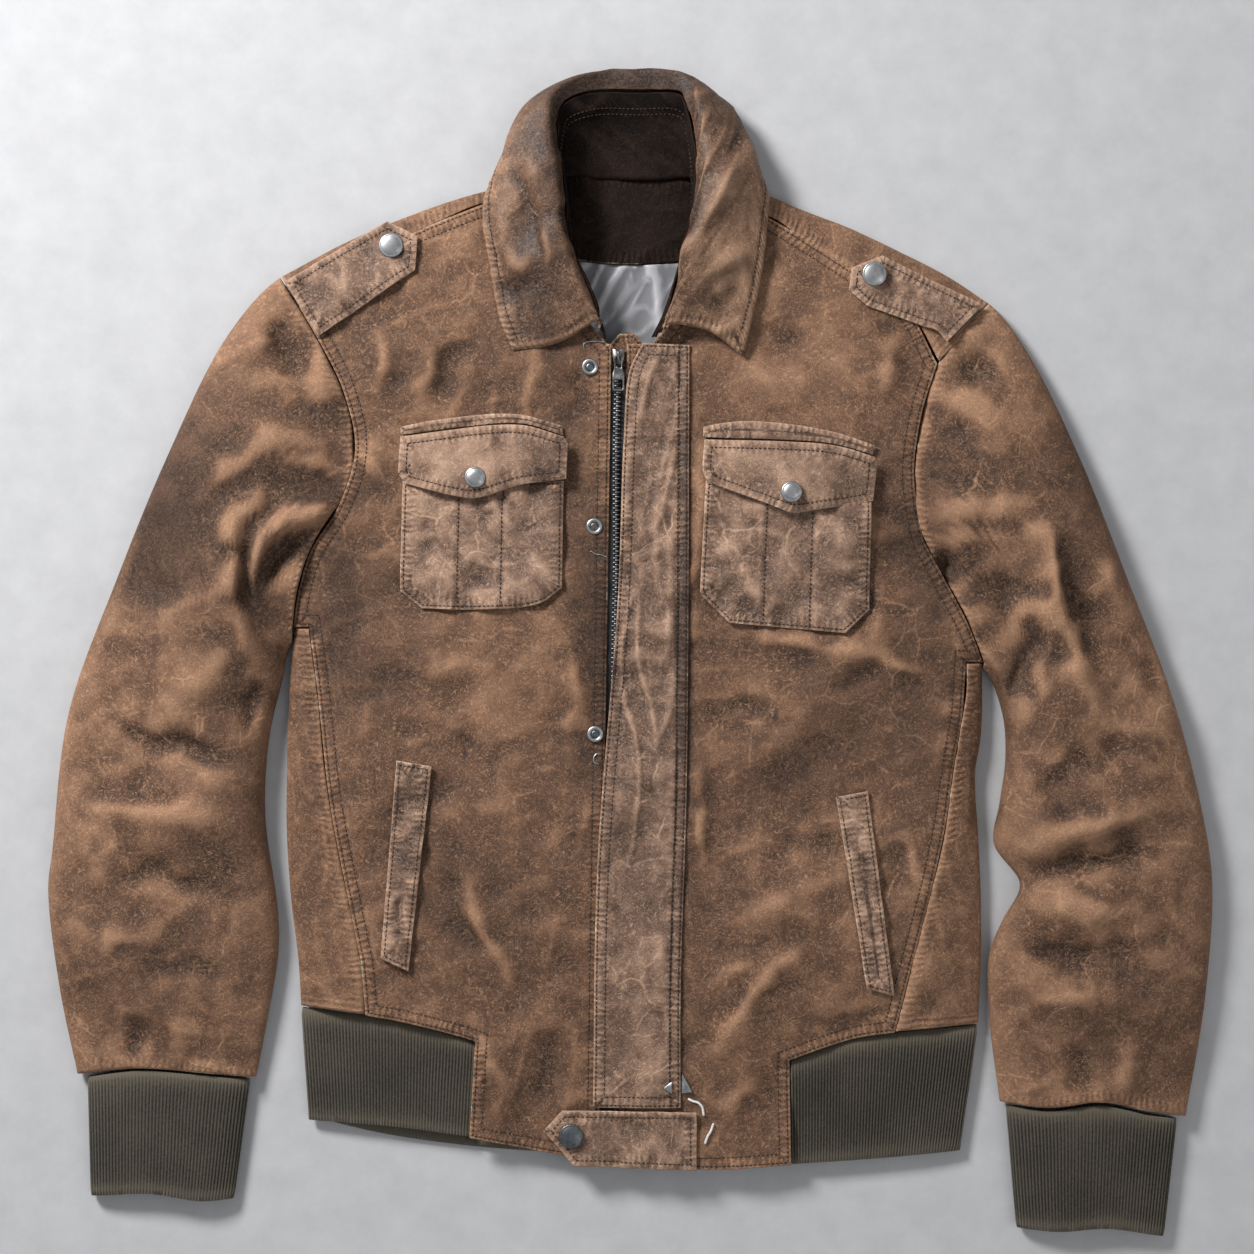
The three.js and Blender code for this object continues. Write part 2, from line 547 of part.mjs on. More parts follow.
// The slider is a shield-shaped block with an arch on top; the pull's pin lies in the arch.
const SLIDER_X = zipSteps[0][0] - 0.6;
const SLIDER_HALF = 4.2;
const sliderBase = Math.max(...[-4, 0, 4].map((dx) => facetTop(SLIDER_X + dx, SLIDER_Y)));
const SLIDER_TOP = sliderBase + 2.4;
const PIVOT_Z = SLIDER_TOP + 1.5;
const sliderOutline = [[-SLIDER_HALF, 6], [0, 4.6], [SLIDER_HALF, 6], [SLIDER_HALF, 0], [3, -5.4], [-3, -5.4],
  [-SLIDER_HALF, 0]].map(([x, y]) => [x + SLIDER_X, y + SLIDER_Y]);
const ARCH_HALF = 0.8;
const archShape = new THREE.Shape([[-4.4, -0.2], [-4.4, 1.8], [-3.2, 3.2], [3.2, 3.2], [4.4, 1.8], [4.4, -0.2], [3, -0.2],
  [3, 1.4], [2.4, 2.3], [-2.4, 2.3], [-3, 1.4], [-3, -0.2]].map(([x, y]) => new THREE.Vector2(x, y)));
const archGeometry = new THREE.ExtrudeGeometry(archShape, { depth: 2 * ARCH_HALF, bevelEnabled: false })
  .translate(0, 0, -ARCH_HALF)
  .rotateX(Math.PI / 2)
  .rotateZ(Math.PI / 2)
  .translate(SLIDER_X, SLIDER_Y, SLIDER_TOP);
add('zip_slider', prism(sliderOutline, sliderBase - 1.6, SLIDER_TOP).add(solidOf(archGeometry)), METAL);

// The pull: a pin across the arch, two cheeks and a plate with a window.
const PIN_RADIUS = 0.65;
const PULL_THICK = 1.2;
const PULL_LONG = 24;
const pullShape = new THREE.Shape([[-3, 0.6], [3, 0.6], [3, -9], [4.2, -12], [4.2, -PULL_LONG], [-4.2, -PULL_LONG],
  [-4.2, -12], [-3, -9]].map(([x, y]) => new THREE.Vector2(x, y)));
const hole = (points) => new THREE.Path(points.map(([x, y]) => new THREE.Vector2(x, y)));
pullShape.holes.push(hole([[-1.9, -0.6], [-1.9, -8], [1.9, -8], [1.9, -0.6]]));
pullShape.holes.push(hole([[-3, -16], [-3, -22.6], [3, -22.6], [3, -16]]));
const pullPlate = new THREE.ExtrudeGeometry(pullShape, { depth: PULL_THICK, bevelEnabled: false })
  .translate(SLIDER_X, SLIDER_Y, PIVOT_Z - PULL_THICK / 2);
const pinGeometry = new THREE.CylinderGeometry(PIN_RADIUS, PIN_RADIUS, 5, 12)
  .rotateZ(Math.PI / 2)
  .translate(SLIDER_X, SLIDER_Y, PIVOT_Z);
add('zip_pull', solidOf(pullPlate).add(solidOf(pinGeometry)), METAL);

// ---------------------------------------------------------------- pieces sewn on the fronts

const ON_PANEL = LAYER_GAP;
const ON_STRAP = 2 * LAYER_GAP + STRAP;

const PLACKET = [[8, 212], [-1, 193], [-5, 146], [-7, 92], [-9, 37], [-14, -18], [-19, -80], [-23, -146], [-25, -210],
  [-26, -279], [-26, -311], [34, -311], [34, -279], [34, -224], [36, -155], [38, -94], [38, -32], [39, 23], [40, 92],
  [40, 160], [40, 211]];
add('placket', bodySheet(PLACKET, ON_PANEL, ON_PANEL + STRAP), LEATHER_LIGHT);

const HEM_TAB = [[-60, -327], [-47, -312.5], [45, -314], [45, -354], [-39, -351]];
add('hem_tab', bodySheet(HEM_TAB, ON_PANEL, ON_PANEL + STRAP), LEATHER_LIGHT);

const POCKETS = {
  right: {
    bag: [[-156, 118], [-158, 43], [-143, 31], [-110, 30], [-63, 34], [-47, 45], [-46, 118]],
    flap: [[-157, 148], [-77, 156], [-46, 148], [-43, 143], [-44, 119], [-75, 115], [-106, 106], [-123, 108],
      [-154, 116], [-159, 123]],
    welt: [[-158, 155], [-131, 160], [-80, 164], [-47, 156], [-46, 149], [-77, 157], [-157, 149]],
    hand: [[-160, -73], [-136, -77], [-152, -217], [-171, -208]],
  },
  left: {
    bag: [[51, 118], [47, 41], [67, 21], [146, 14], [163, 30], [164, 108]],
    flap: [[50, 146], [137, 142], [166, 134], [168, 130], [165, 104], [126, 98], [109, 96], [82, 106], [52, 117],
      [49, 124]],
    welt: [[49, 155], [58, 157], [82, 159], [137, 152], [167, 142], [165, 135.5], [137, 143], [49, 147.5]],
    hand: [[140, -98], [162, -94], [180, -234], [161, -229]],
  },
};
for (const side of ['right', 'left']) {
  const { bag, flap, welt, hand } = POCKETS[side];
  add(`pocket_${side}`, bodySheet(bag, ON_PANEL, ON_PANEL + CLOTH), LEATHER_LIGHT);
  add(`flap_${side}`, bodySheet(flap, ON_STRAP, ON_STRAP + STRAP), LEATHER_LIGHT);
  add(`flap_welt_${side}`, bodySheet(insetOutline(welt, SEAM_GAP), ON_PANEL, ON_PANEL + STRAP), LEATHER_LIGHT);
  add(`hand_welt_${side}`, bodySheet(hand, ON_PANEL, ON_PANEL + STRAP), LEATHER_LIGHT);
}

const EPAULETTE = {
  right: [[-238, 255], [-214, 216], [-147, 262], [-145, 286], [-167, 297]],
  left: [[242, 239], [216, 212], [209, 220], [161, 237], [148, 248], [150, 264], [172, 273]],
};
for (const side of ['right', 'left']) {
  add(`epaulette_${side}`, bodySheet(insetOutline(EPAULETTE[side], 0.6), ON_PANEL, ON_PANEL + STRAP), LEATHER_LIGHT);
}

// ---------------------------------------------------------------- snaps

function levelUnder(x, y, radius) {
  const around = evenly(8).map((share) => share * 2 * Math.PI);
  return Math.max(facetTop(x, y), ...around.map((a) => facetTop(x + radius * Math.cos(a), y + radius * Math.sin(a))));
}
function snapCap(radius) {
  const profile = [[0, 0], [radius - 0.8, 0], [radius, 0.7], [radius - 0.4, 1.6], [radius * 0.6, 2.3], [0, 2.6]];
  return new THREE.LatheGeometry(profile.map(([r, z]) => new THREE.Vector2(r, z)), 20).rotateX(Math.PI / 2);
}
function snapSocket(radius) {
  const profile = [[radius * 0.35, 0], [radius, 0], [radius, 0.7], [radius * 0.8, 1.4], [radius * 0.5, 1.4],
    [radius * 0.35, 0.6], [radius * 0.35, 0]];
  return new THREE.LatheGeometry(profile.map(([r, z]) => new THREE.Vector2(r, z)), 16).rotateX(Math.PI / 2);
}
function addSnap(name, geometry, x, y, radius, layer) {
  add(name, solidOf(geometry.translate(x, y, levelUnder(x, y, radius) + layer + 0.3)), METAL);
}
const LARGE_SNAP = 8.4;
const SMALL_SNAP = 7.2;
const SOCKET = 5.7;
const ABOVE_STRAP = ON_PANEL + STRAP;
const ABOVE_FLAP = ON_STRAP + STRAP;
addSnap('epaulette_snap_right', snapCap(LARGE_SNAP), -164, 279, LARGE_SNAP, ABOVE_STRAP);
addSnap('epaulette_snap_left', snapCap(LARGE_SNAP), 166, 259, LARGE_SNAP, ABOVE_STRAP);
addSnap('flap_snap_right', snapCap(SMALL_SNAP), -106, 120, SMALL_SNAP, ABOVE_FLAP);
addSnap('flap_snap_left', snapCap(SMALL_SNAP), 109, 110, SMALL_SNAP, ABOVE_FLAP);
addSnap('tab_snap', snapCap(LARGE_SNAP), -41, -330, LARGE_SNAP, ABOVE_STRAP);
[[-28, 196], [-25, 87], [-24.5, -55]].forEach(([x, y], i) => {
  addSnap(`front_socket_${i + 1}`, snapSocket(SOCKET), x, y, SOCKET, 0);
});

// Two metal clips clinched over the zip's flange just above the hem tab.
const CLIPS = {
  right: [[22, -297], [28, -301], [28, -292]],
  left: [[34.6, -286], [42, -300], [34.6, -301]],
};
for (const side of ['right', 'left']) {
  const layer = side === 'right' ? ABOVE_STRAP + 0.2 : ON_PANEL;
  add(`hem_clip_${side}`, bodySheet(CLIPS[side], layer, layer + 1.2), METAL);
}

export default group;
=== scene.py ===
import math

import bpy
import numpy as np
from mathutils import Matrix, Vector
from mathutils.geometry import delaunay_2d_cdt


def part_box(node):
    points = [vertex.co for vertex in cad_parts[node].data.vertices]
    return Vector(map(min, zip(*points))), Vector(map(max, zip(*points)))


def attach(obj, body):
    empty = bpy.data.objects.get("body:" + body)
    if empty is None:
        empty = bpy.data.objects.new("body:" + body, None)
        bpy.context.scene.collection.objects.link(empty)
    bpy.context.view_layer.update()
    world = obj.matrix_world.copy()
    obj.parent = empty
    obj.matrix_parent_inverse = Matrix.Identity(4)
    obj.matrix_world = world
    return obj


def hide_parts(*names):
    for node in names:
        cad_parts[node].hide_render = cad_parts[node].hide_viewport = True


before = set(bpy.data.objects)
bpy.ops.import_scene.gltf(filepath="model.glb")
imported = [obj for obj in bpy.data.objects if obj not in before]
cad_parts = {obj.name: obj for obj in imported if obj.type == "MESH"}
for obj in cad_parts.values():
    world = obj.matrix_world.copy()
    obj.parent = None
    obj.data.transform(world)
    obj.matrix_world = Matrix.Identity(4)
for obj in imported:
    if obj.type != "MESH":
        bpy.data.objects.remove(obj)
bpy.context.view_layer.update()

# A worn leather field jacket lies on its back, zipped up. Sizes below are in millimetres: z = 0 is the surface it
# lies on, +Y runs towards the collar and +X is the wearer's left. "Right" and "left" are the wearer's.

# ---------------------------------------------------------------- back
# The back is one large panel of waxed leather that the whole jacket lies on. Its edges are turned in and sewn to
# the side panels, sleeves and yoke, and weight has pressed its creases flat.

MM = 0.001
CLOTH = 2.0  # leather with its lining

lattice = np.random.default_rng(11).random((256, 256))


def noise(x, y, seed=0):
    """Smooth noise from 0 to 1 that changes over about one unit."""
    x, y = np.asarray(x, float) + 37.7 * seed, np.asarray(y, float) + 91.3 * seed
    i, j = np.floor(x).astype(int), np.floor(y).astype(int)
    u, v = x - i, y - j
    u, v = u * u * u * (u * (u * 6 - 15) + 10), v * v * v * (v * (v * 6 - 15) + 10)
    i0, i1, j0, j1 = i % 256, (i + 1) % 256, j % 256, (j + 1) % 256
    low = lattice[i0, j0] * (1 - u) + lattice[i1, j0] * u
    high = lattice[i0, j1] * (1 - u) + lattice[i1, j1] * u
    return low * (1 - v) + high * v


def crumple(x, y, size, seed, stretch=1.0, turn=0.0):
    """Sharp-topped wrinkles about size apart, from 0 to 1. They run along the direction turn, in degrees."""
    c, s = math.cos(math.radians(turn)), math.sin(math.radians(turn))
    along, across = (x * c + y * s) / (size * stretch), (y * c - x * s) / size
    drift = 1.3 * noise(along / 1.9, across / 1.9, seed + 3)
    return (1 - np.abs(2 * noise(along + drift, across + 1.7 * drift, seed) - 1)) ** 2


def puckers(along, away, seed, pitch=6.3, reach=16):
    """Small sharp-topped puckers along a seam, from -1.1 to 0.9."""
    return 2 * (1 - np.abs(2 * noise(along / pitch, away / reach, seed) - 1)) - 1.1


class Line:
    """A smooth curve through knots, measured along its length."""

    STEPS = 12  # points from one knot to the next

    def __init__(self, points):
        p = np.asarray(points, float)
        p = np.vstack([2 * p[0] - p[1], p, 2 * p[-1] - p[-2]])
        gaps = np.maximum(np.linalg.norm(np.diff(p, axis=0), axis=1), 1e-6) ** 0.5
        steps = np.linspace(0, 1, self.STEPS + 1)[:-1, None]
        parts = []
        for k in range(1, len(p) - 2):
            a, b, c, d = p[k - 1 : k + 3]
            before, here, after = gaps[k - 1 : k + 2]
            leave = ((b - a) / before - (c - a) / (before + here)) * here + (c - b)
            reach = (c - b) + ((d - c) / after - (d - b) / (here + after)) * here
            parts.append(
                (2 * steps**3 - 3 * steps**2 + 1) * b + (steps**3 - 2 * steps**2 + steps) * leave
                + (3 * steps**2 - 2 * steps**3) * c + (steps**3 - steps**2) * reach
            )
        self.points = np.vstack([*parts, p[-2:-1]])
        self.run = np.r_[0, np.cumsum(np.linalg.norm(np.diff(self.points, axis=0), axis=1))]
        self.length = self.run[-1]

    def at_lengths(self, where):
        return np.stack([np.interp(where, self.run, column) for column in self.points.T], -1)

    def at_knots(self, places):
        knots = self.run[:: self.STEPS]
        return self.at_lengths(np.interp(places, np.arange(len(knots)), knots))

    def at(self, shares):
        return self.at_lengths(np.asarray(shares, float) * self.length)

    def every(self, gap):
        return self.at(np.linspace(0, 1, max(2, int(round(self.length / gap)) + 1)))


def nearest(line, x, y, sided=False):
    """How far points are from a chain of points, and how far along it their nearest place is. If sided, distances
    are below zero on the chain's right."""
    best, along, run = np.full(np.shape(x), 1e9), np.zeros(np.shape(x)), 0.0
    side = np.ones(np.shape(x))
    for (ax, ay), (bx, by) in zip(line, line[1:]):
        length = math.hypot(bx - ax, by - ay)
        if length < 1e-9:
            continue
        ux, uy = (bx - ax) / length, (by - ay) / length
        part = np.clip((x - ax) * ux + (y - ay) * uy, 0, length)
        distance = np.hypot(x - ax - part * ux, y - ay - part * uy)
        closer = distance < best
        best = np.where(closer, distance, best)
        along = np.where(closer, run + part, along)
        if sided:
            side = np.where(closer, np.where(ux * (y - ay) >= uy * (x - ax), 1.0, -1.0), side)
        run += length
    return best * side, along


def inside(outline, x, y):
    """Whether points are inside an outline."""
    hit = np.zeros(np.shape(x), bool)
    for (ax, ay), (bx, by) in zip(outline, np.roll(outline, -1, axis=0)):
        if ay != by:
            hit ^= ((ay > y) != (by > y)) & (x < (bx - ax) * (y - ay) / (by - ay) + ax)
    return hit


def area_in(outline):
    """The area inside an outline, below zero if it runs clockwise."""
    (x, y), (next_x, next_y) = outline.T, np.roll(outline, -1, axis=0).T
    return 0.5 * float(np.sum(x * next_y - next_x * y))


PER_METRE = 20000  # points of the frame are told apart to a twentieth of a millimetre
CORNER = 32  # degrees; an outline that turns by more has a corner there


def outline_of(node):
    """The edge of a flat-laid piece of the frame seen from above, smooth between its corners."""
    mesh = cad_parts[node].data
    places = [(round(v.co.x * PER_METRE), round(v.co.y * PER_METRE)) for v in mesh.vertices]
    edges = set()
    for face in mesh.polygons:
        if face.normal.z > 0.3:
            ring = [places[i] for i in face.vertices]
            for edge in zip(ring, ring[1:] + ring[:1]):
                if edge[::-1] in edges:
                    edges.remove(edge[::-1])
                elif edge[0] != edge[1]:
                    edges.add(edge)
    follow = {}
    for a, b in sorted(edges):
        follow.setdefault(a, []).append(b)
    loops = []
    while follow:
        loop = [min(follow)]
        while loop[-1] in follow:
            ends = follow[loop[-1]]
            loop.append(ends.pop())
            if not ends:
                del follow[loop[-2]]
        loops.append(np.array(loop[:-1], float) / (PER_METRE * MM))

    loop = max(loops, key=area_in)

    def turns(points):
        ahead = np.roll(points, -1, axis=0) - points
        angle = np.degrees(np.arctan2(ahead[:, 1], ahead[:, 0]))
        return (angle - np.roll(angle, 1) + 180) % 360 - 180

    for _ in range(3):
        bends = np.abs(turns(loop))
        loop = loop[(bends > 1.2) & (bends < 165)]
    corners = [k for k, turn in enumerate(turns(loop)) if abs(turn) > CORNER]
    if not corners:
        return Line([*loop, loop[0]]).points[:-1]
    loop = np.roll(loop, -corners[0], axis=0)
    corners = [k - corners[0] for k in corners] + [len(loop)]
    loop = np.vstack([loop, loop[:1]])
    return np.vstack([Line(loop[a : b + 1]).points[:-1] for a, b in zip(corners, corners[1:])])


def inset(points, distance):
    """A closed chain of points moved to its left, which is inwards for an outline that runs anticlockwise."""
    ahead = np.roll(points, -1, axis=0) - points
    behind = np.roll(ahead, 1, axis=0)
    ahead = ahead / np.maximum(np.linalg.norm(ahead, axis=1), 1e-9)[:, None]
    behind = behind / np.maximum(np.linalg.norm(behind, axis=1), 1e-9)[:, None]
    middle = ahead + behind
    length = np.maximum(np.linalg.norm(middle, axis=1), 0.8)
    normal = np.stack([-middle[:, 1], middle[:, 0]], -1) / (length**2 / 2)[:, None]
    return points + normal * distance


def respaced(outline, gap):
    """An outline's points set about gap apart, with its corners kept."""
    ahead = np.roll(outline, -1, axis=0) - outline
    out = []
    for point, step in zip(outline, ahead):
        count = max(1, int(round(np.linalg.norm(step) / gap)))
        out += [point + step * k / count for k in range(count)]
    kept = [out[0]]
    for point in out[1:]:
        if np.linalg.norm(point - kept[-1]) > gap * 0.55:
            kept.append(point)
    return np.array(kept)


def make_piece(name, vertices, faces, finish):
    mesh = bpy.data.meshes.new("sewn_" + name)
    mesh.from_pydata((np.asarray(vertices) * MM).tolist(), [], [list(map(int, f)) for f in faces])
    mesh.materials.append(finish)
    mesh.polygons.foreach_set("use_smooth", [True] * len(mesh.polygons))
    piece = bpy.data.objects.new("sewn_" + name, mesh)
    bpy.context.scene.collection.objects.link(piece)
    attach(piece, "jacket")
    return piece


def store(piece, attribute, values):
    piece.data.attributes.new(attribute, "FLOAT", "POINT").data.foreach_set("value", values)


def mark_ridges(piece):
    """Stores how far each point stands proud of the cloth near it and farther round, which the finishes use for
    rubbed wear and for painted light and shade."""
    mesh = piece.data
    count = len(mesh.vertices)
    place, normal = np.zeros(count * 3), np.zeros(count * 3)
    ends = np.zeros(len(mesh.edges) * 2, int)
    mesh.vertices.foreach_get("co", place)
    mesh.vertices.foreach_get("normal", normal)
    mesh.edges.foreach_get("vertices", ends)
    place, normal, (a, b) = place.reshape(-1, 3), normal.reshape(-1, 3), ends.reshape(-1, 2).T
    degree = np.maximum(np.bincount(a, minlength=count) + np.bincount(b, minlength=count), 1)
    mean = place
    for step, attribute, full in ((3, "fine", 0.0003), (22, "broad", 0.0013)):
        for _ in range(step):
            mean = np.stack([
                np.bincount(a, mean[b, k], count) + np.bincount(b, mean[a, k], count) for k in range(3)
            ], -1) / degree[:, None]
        proud = np.einsum("ij,ij->i", place - mean, normal) / full
        store(piece, attribute, np.clip(proud, -2, 2))


def mark_seams(piece, edge, run):
    """Stores each point's distance from the nearest seam or edge and its place along it, in millimetres, and how
    dark its wax and painted shade make the leather there. edge and run are for the outer face, and the inner face
    takes the same."""
    for attribute, value in (("edge", edge), ("run", run)):
        store(piece, attribute, np.tile(np.ravel(value), 2).astype(np.float32))
    place = np.zeros(len(piece.data.vertices) * 3)
    piece.data.vertices.foreach_get("co", place)
    x, y, _ = place.reshape(-1, 3).T / MM
    store(piece, "wax_and_shade", wax_and_shade_at(x, y).astype(np.float32))


# Where the leather has kept its dark wax, and painted shade in the gaps beside the placket, at the armpits and in deep
# folds: a place, how far the dark reaches across and along the body from it, and how dark it is, or how much paler
# than the rest where it is below zero.
RAGGED = 26  # how far the dark's edge wanders
WAX_AND_SHADE_PATCHES = [
    (-205, 100, 30, 75, 0.7), (-190, 10, 26, 60, 0.55), (205, 70, 30, 75, 0.8), (205, -60, 26, 70, 0.4),
    (-136, 190, 40, 34, 0.45), (-90, -32, 40, 26, -0.6), (-118, -158, 42, 40, 0.4), (-150, -20, 26, 30, 0.5),
    (116, 194, 40, 26, -0.9), (124, -58, 60, 30, 0.6), (92, -90, 40, 16, 0.5), (88, -20, 46, 16, -0.3),
    (-34, 40, 12, 150, 0.55), (-52, 150, 14, 60, 0.45), (150, -20, 40, 22, 0.4), (-60, -80, 30, 26, 0.4),
    (-316, 112, 44, 90, 1.2), (-262, 20, 22, 50, 0.45), (-330, -224, 60, 40, 0.4), (-270, -110, 22, 60, 0.45),
    (306, 112, 34, 80, 0.55), (262, -10, 16, 50, 0.6), (328, -242, 60, 40, 0.5), (290, -110, 40, 16, 0.5),
    (-131, 138, 44, 20, -1.3), (96, 130, 50, 22, -0.6), (13, -100, 22, 60, 0.2), (13, 140, 22, 60, 0.2),
    (37.5, -10, 4.5, 62, 2.2), (38, 100, 4, 90, 0.9), (35, -200, 3, 110, 0.7), (-20, 15, 8, 90, 1.0),
    (47, -110, 7, 60, 0.5),
    (-69, 272, 16, 40, 0.65), (76, 262, 22, 44, -1.6), (0, 391, 78, 27, 1.6), (-60, 345, 16, 34, 0.6),
    (54, 350, 24, 40, 0.15), (44, 296, 9, 34, 0.8), (-52, 300, 9, 44, 0.55), (-100, -300, 60, 20, 0.3),
    (-220, -100, 14, 60, 0.3), (110, 235, 26, 30, 0.5), (-60, 225, 24, 24, 0.4),
]


def wax_and_shade_at(x, y):
    """How dark the leather is from its wax and from painted shade, with ragged edges to the dark."""
    ragged_x, ragged_y = noise(x / 34, y / 34, 2) - 0.5, noise(x / 34, y / 34, 3) - 0.5
    dark = 0
    for cx, cy, wide, tall, deep in WAX_AND_SHADE_PATCHES:
        ragged = min(RAGGED, 0.9 * wide)
        dark = dark + deep * np.exp(-(((x + ragged * ragged_x - cx) / wide) ** 2)
                                    - ((y + ragged * ragged_y - cy) / tall) ** 2)
    return np.clip(dark, -1, 1)


EDGE_RINGS = (0.6, 1.4, 2.4, 3.6, 5.2, 7, 8.6, 10.4)  # rows of points along a sheet's edge
ROLL = 0.32  # how far a sheet's edge is rolled over, in thicknesses
STITCH = 3.0  # from one stitch to the next
THREAD_REACH = 0.38 * STITCH  # from a stitch's middle to each of its ends
stitches = []  # both ends of every stitch on the jacket
surfaces = {}  # the height of each laid piece at (x, y)


def sew(start, end):
    stitches.extend(zip(start, end))


def along_chain(chain, pitch):
    """Places at an even pitch along a chain of points, and which way the chain runs at each."""
    steps = np.linalg.norm(np.diff(chain, axis=0), axis=1)
    run = np.r_[0, np.cumsum(steps)]
    where = np.arange(pitch / 2, run[-1] - pitch / 2, pitch)
    place = np.stack([np.interp(where, run, column) for column in chain.T], -1)
    ahead = np.stack([np.interp(where + 0.4, run, column) for column in chain.T], -1) - place
    return place, ahead / np.maximum(np.linalg.norm(ahead, axis=1), 1e-9)[:, None]


def sew_over(chain, height_at):
    """A row of stitches along a chain seen from above, lying on height_at(x, y)."""
    place, ahead = along_chain(np.asarray(chain, float), STITCH)
    ends = []
    for reach in (-THREAD_REACH, THREAD_REACH):
        at = place + ahead * reach
        ends.append(np.column_stack([at, height_at(at[:, 0], at[:, 1]) + 0.12]))
    sew(*ends)


def lay(name, outline, top, thick, finish, slot, pucker=0.35, rows=(), sewn=True, gap=2.3, reach=7.0, fill=0.0):
    """A closed sheet of cloth that lies at height top(x, y), with turned edges that pucker along their stitching.
    rows are the distances of its rows of stitches from its edge, and gap is the mesh's."""
    area = area_in(outline)
    edge = respaced(outline if area > 0 else outline[::-1], gap * 0.85)
    low, high = edge.min(0), edge.max(0)
    points = [inset(edge, ring) for ring in EDGE_RINGS]
    ring_of = np.repeat(EDGE_RINGS, len(edge))
    xs, ys = np.arange(low[0], high[0], gap), np.arange(low[1], high[1], gap * 0.87)
    grid_x, grid_y = np.meshgrid(xs, ys)
    grid_x = grid_x + np.where(np.arange(len(ys)) % 2, gap / 2, 0)[:, None]
    points = np.vstack([*points, np.stack([grid_x.ravel(), grid_y.ravel()], -1)])
    ring_of = np.r_[ring_of, np.full(grid_x.size, EDGE_RINGS[-1] + 1.6)]
    closed = np.vstack([edge, edge[:1]])
    distance, _ = nearest(closed, points[:, 0], points[:, 1])
    keep = inside(edge, points[:, 0], points[:, 1]) & (distance > ring_of - 0.25)
    points = np.vstack([edge, points[keep]])
    found = delaunay_2d_cdt([Vector(p) for p in points], [], [list(range(len(edge)))], 1, 1e-5)
    flat, triangles = np.array(found[0]), np.array(found[2])

    def height_at(x, y):
        distance, along = nearest(closed, x, y)
        height = np.array(top(x, y), float) + fill * (1 - np.exp(-distance / 9))
        height += pucker * np.exp(-distance / reach) * puckers(along, distance, len(name))
        for row in rows:
            height -= 0.3 * np.exp(-(((distance - row) / 1.0) ** 2))
        return height, distance, along

    x, y = flat.T
    height, distance, along = height_at(x, y)
    turned = ROLL * thick * np.sqrt(np.clip(1 - np.clip(distance / 1.6, 0, 1) ** 0.7, 0, 1))
    upper = np.stack([x, y, height - turned], -1)
    lower = np.stack([x, y, np.maximum(height - thick + turned * 0.6, 0)], -1)
    count = len(flat)
    links = {}
    for a, b, c in triangles:
        for pair in ((a, b), (b, c), (c, a)):
            if pair[::-1] in links:
                del links[pair[::-1]]
            else:
                links[pair] = True
    walls = [(b, a, a + count, b + count) for a, b in links]
    faces = [*map(tuple, triangles), *map(tuple, triangles[:, ::-1] + count), *walls]
    piece = make_piece(name, np.vstack([upper, lower]), faces, finish)
    mark_ridges(piece)
    mark_seams(piece, distance, along)
    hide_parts(name)
    surfaces[name] = lambda x, y: height_at(x, y)[0]
    for row in rows if sewn else ():
        chain = inset(closed, row)
        apart, _ = nearest(closed, *chain.T)
        sew_over(chain[apart > row - 0.4], surfaces[name])


class Value:
    """A shader socket to reckon with. An expression on Values adds its Math nodes."""

    def __init__(self, finish, socket):
        self.finish, self.socket = finish, socket

    def maths(self, operation, first, second=0.0):
        return self.finish.node("ShaderNodeMath", {"operation": operation}, [first, second])

    def __add__(self, other):
        return self.maths("ADD", self, other)

    def __sub__(self, other):
        return self.maths("SUBTRACT", self, other)

    def __rsub__(self, other):
        return self.maths("SUBTRACT", other, self)

    def __mul__(self, other):
        return self.maths("MULTIPLY", self, other)

    def __abs__(self):
        return self.maths("ABSOLUTE", self)

    def __pow__(self, other):
        return self.maths("POWER", self, other)

    def sine(self):
        return self.maths("SINE", self)

    def kept(self):
        """The value held between 0 and 1."""
        return self.finish.node("ShaderNodeClamp", {}, [self])

    __radd__, __rmul__ = __add__, __mul__


class Finish:
    """One material and the nodes that make its surface."""

    def __init__(self, name, **fixed):
        self.material = bpy.data.materials.new(name)
        self.material.use_nodes = True
        self.tree = self.material.node_tree
        self.shader = self.tree.nodes["Principled BSDF"]
        for socket, value in fixed.items():
            self.shader.inputs[socket.replace("_", " ")].default_value = value
        self.place = self.node("ShaderNodeTexCoord", {}, out="Object")

    def node(self, kind, settings, values=(), out=0):
        made = self.tree.nodes.new(kind)
        for name, setting in settings.items():
            setattr(made, name, setting)
        for key, value in values.items() if isinstance(values, dict) else enumerate(values):
            if isinstance(value, Value):
                self.tree.links.new(value.socket, made.inputs[key])
            else:
                made.inputs[key].default_value = value
        return Value(self, made.outputs[out])

    def speckle(self, scale, detail=3.0, rough=0.55, twist=0.0):
        values = {"Vector": self.place, "Scale": scale, "Detail": detail, "Roughness": rough, "Distortion": twist}
        return self.node("ShaderNodeTexNoise", {}, values)

    def warped(self, scale, reach):
        """The place on the piece pushed about by noise, so that a pattern laid there comes out uneven."""
        push = self.node("ShaderNodeTexNoise", {}, {"Vector": self.place, "Scale": scale, "Detail": 3.0}, out=1)
        push = self.node("ShaderNodeVectorMath", {"operation": "SCALE"}, {0: push, "Scale": reach})
        return self.node("ShaderNodeVectorMath", {"operation": "ADD"}, [self.place, push])

    def stored(self, attribute):
        return self.node("ShaderNodeAttribute", {"attribute_name": attribute}, out="Fac")

    def blend(self, share, first, second):
        inputs = {0: share, 6: first, 7: second}
        return self.node("ShaderNodeMix", {"data_type": "RGBA"}, inputs, out=2)

    def feed(self, **values):
        for socket, value in values.items():
            self.tree.links.new(value.socket, self.shader.inputs[socket.replace("_", " ")])

    def raise_by(self, height, depth):
        """Bumps the surface by height, which is from 0 to 1, times depth millimetres."""
        self.feed(Normal=self.node("ShaderNodeBump", {}, {"Height": height, "Distance": depth * MM}))


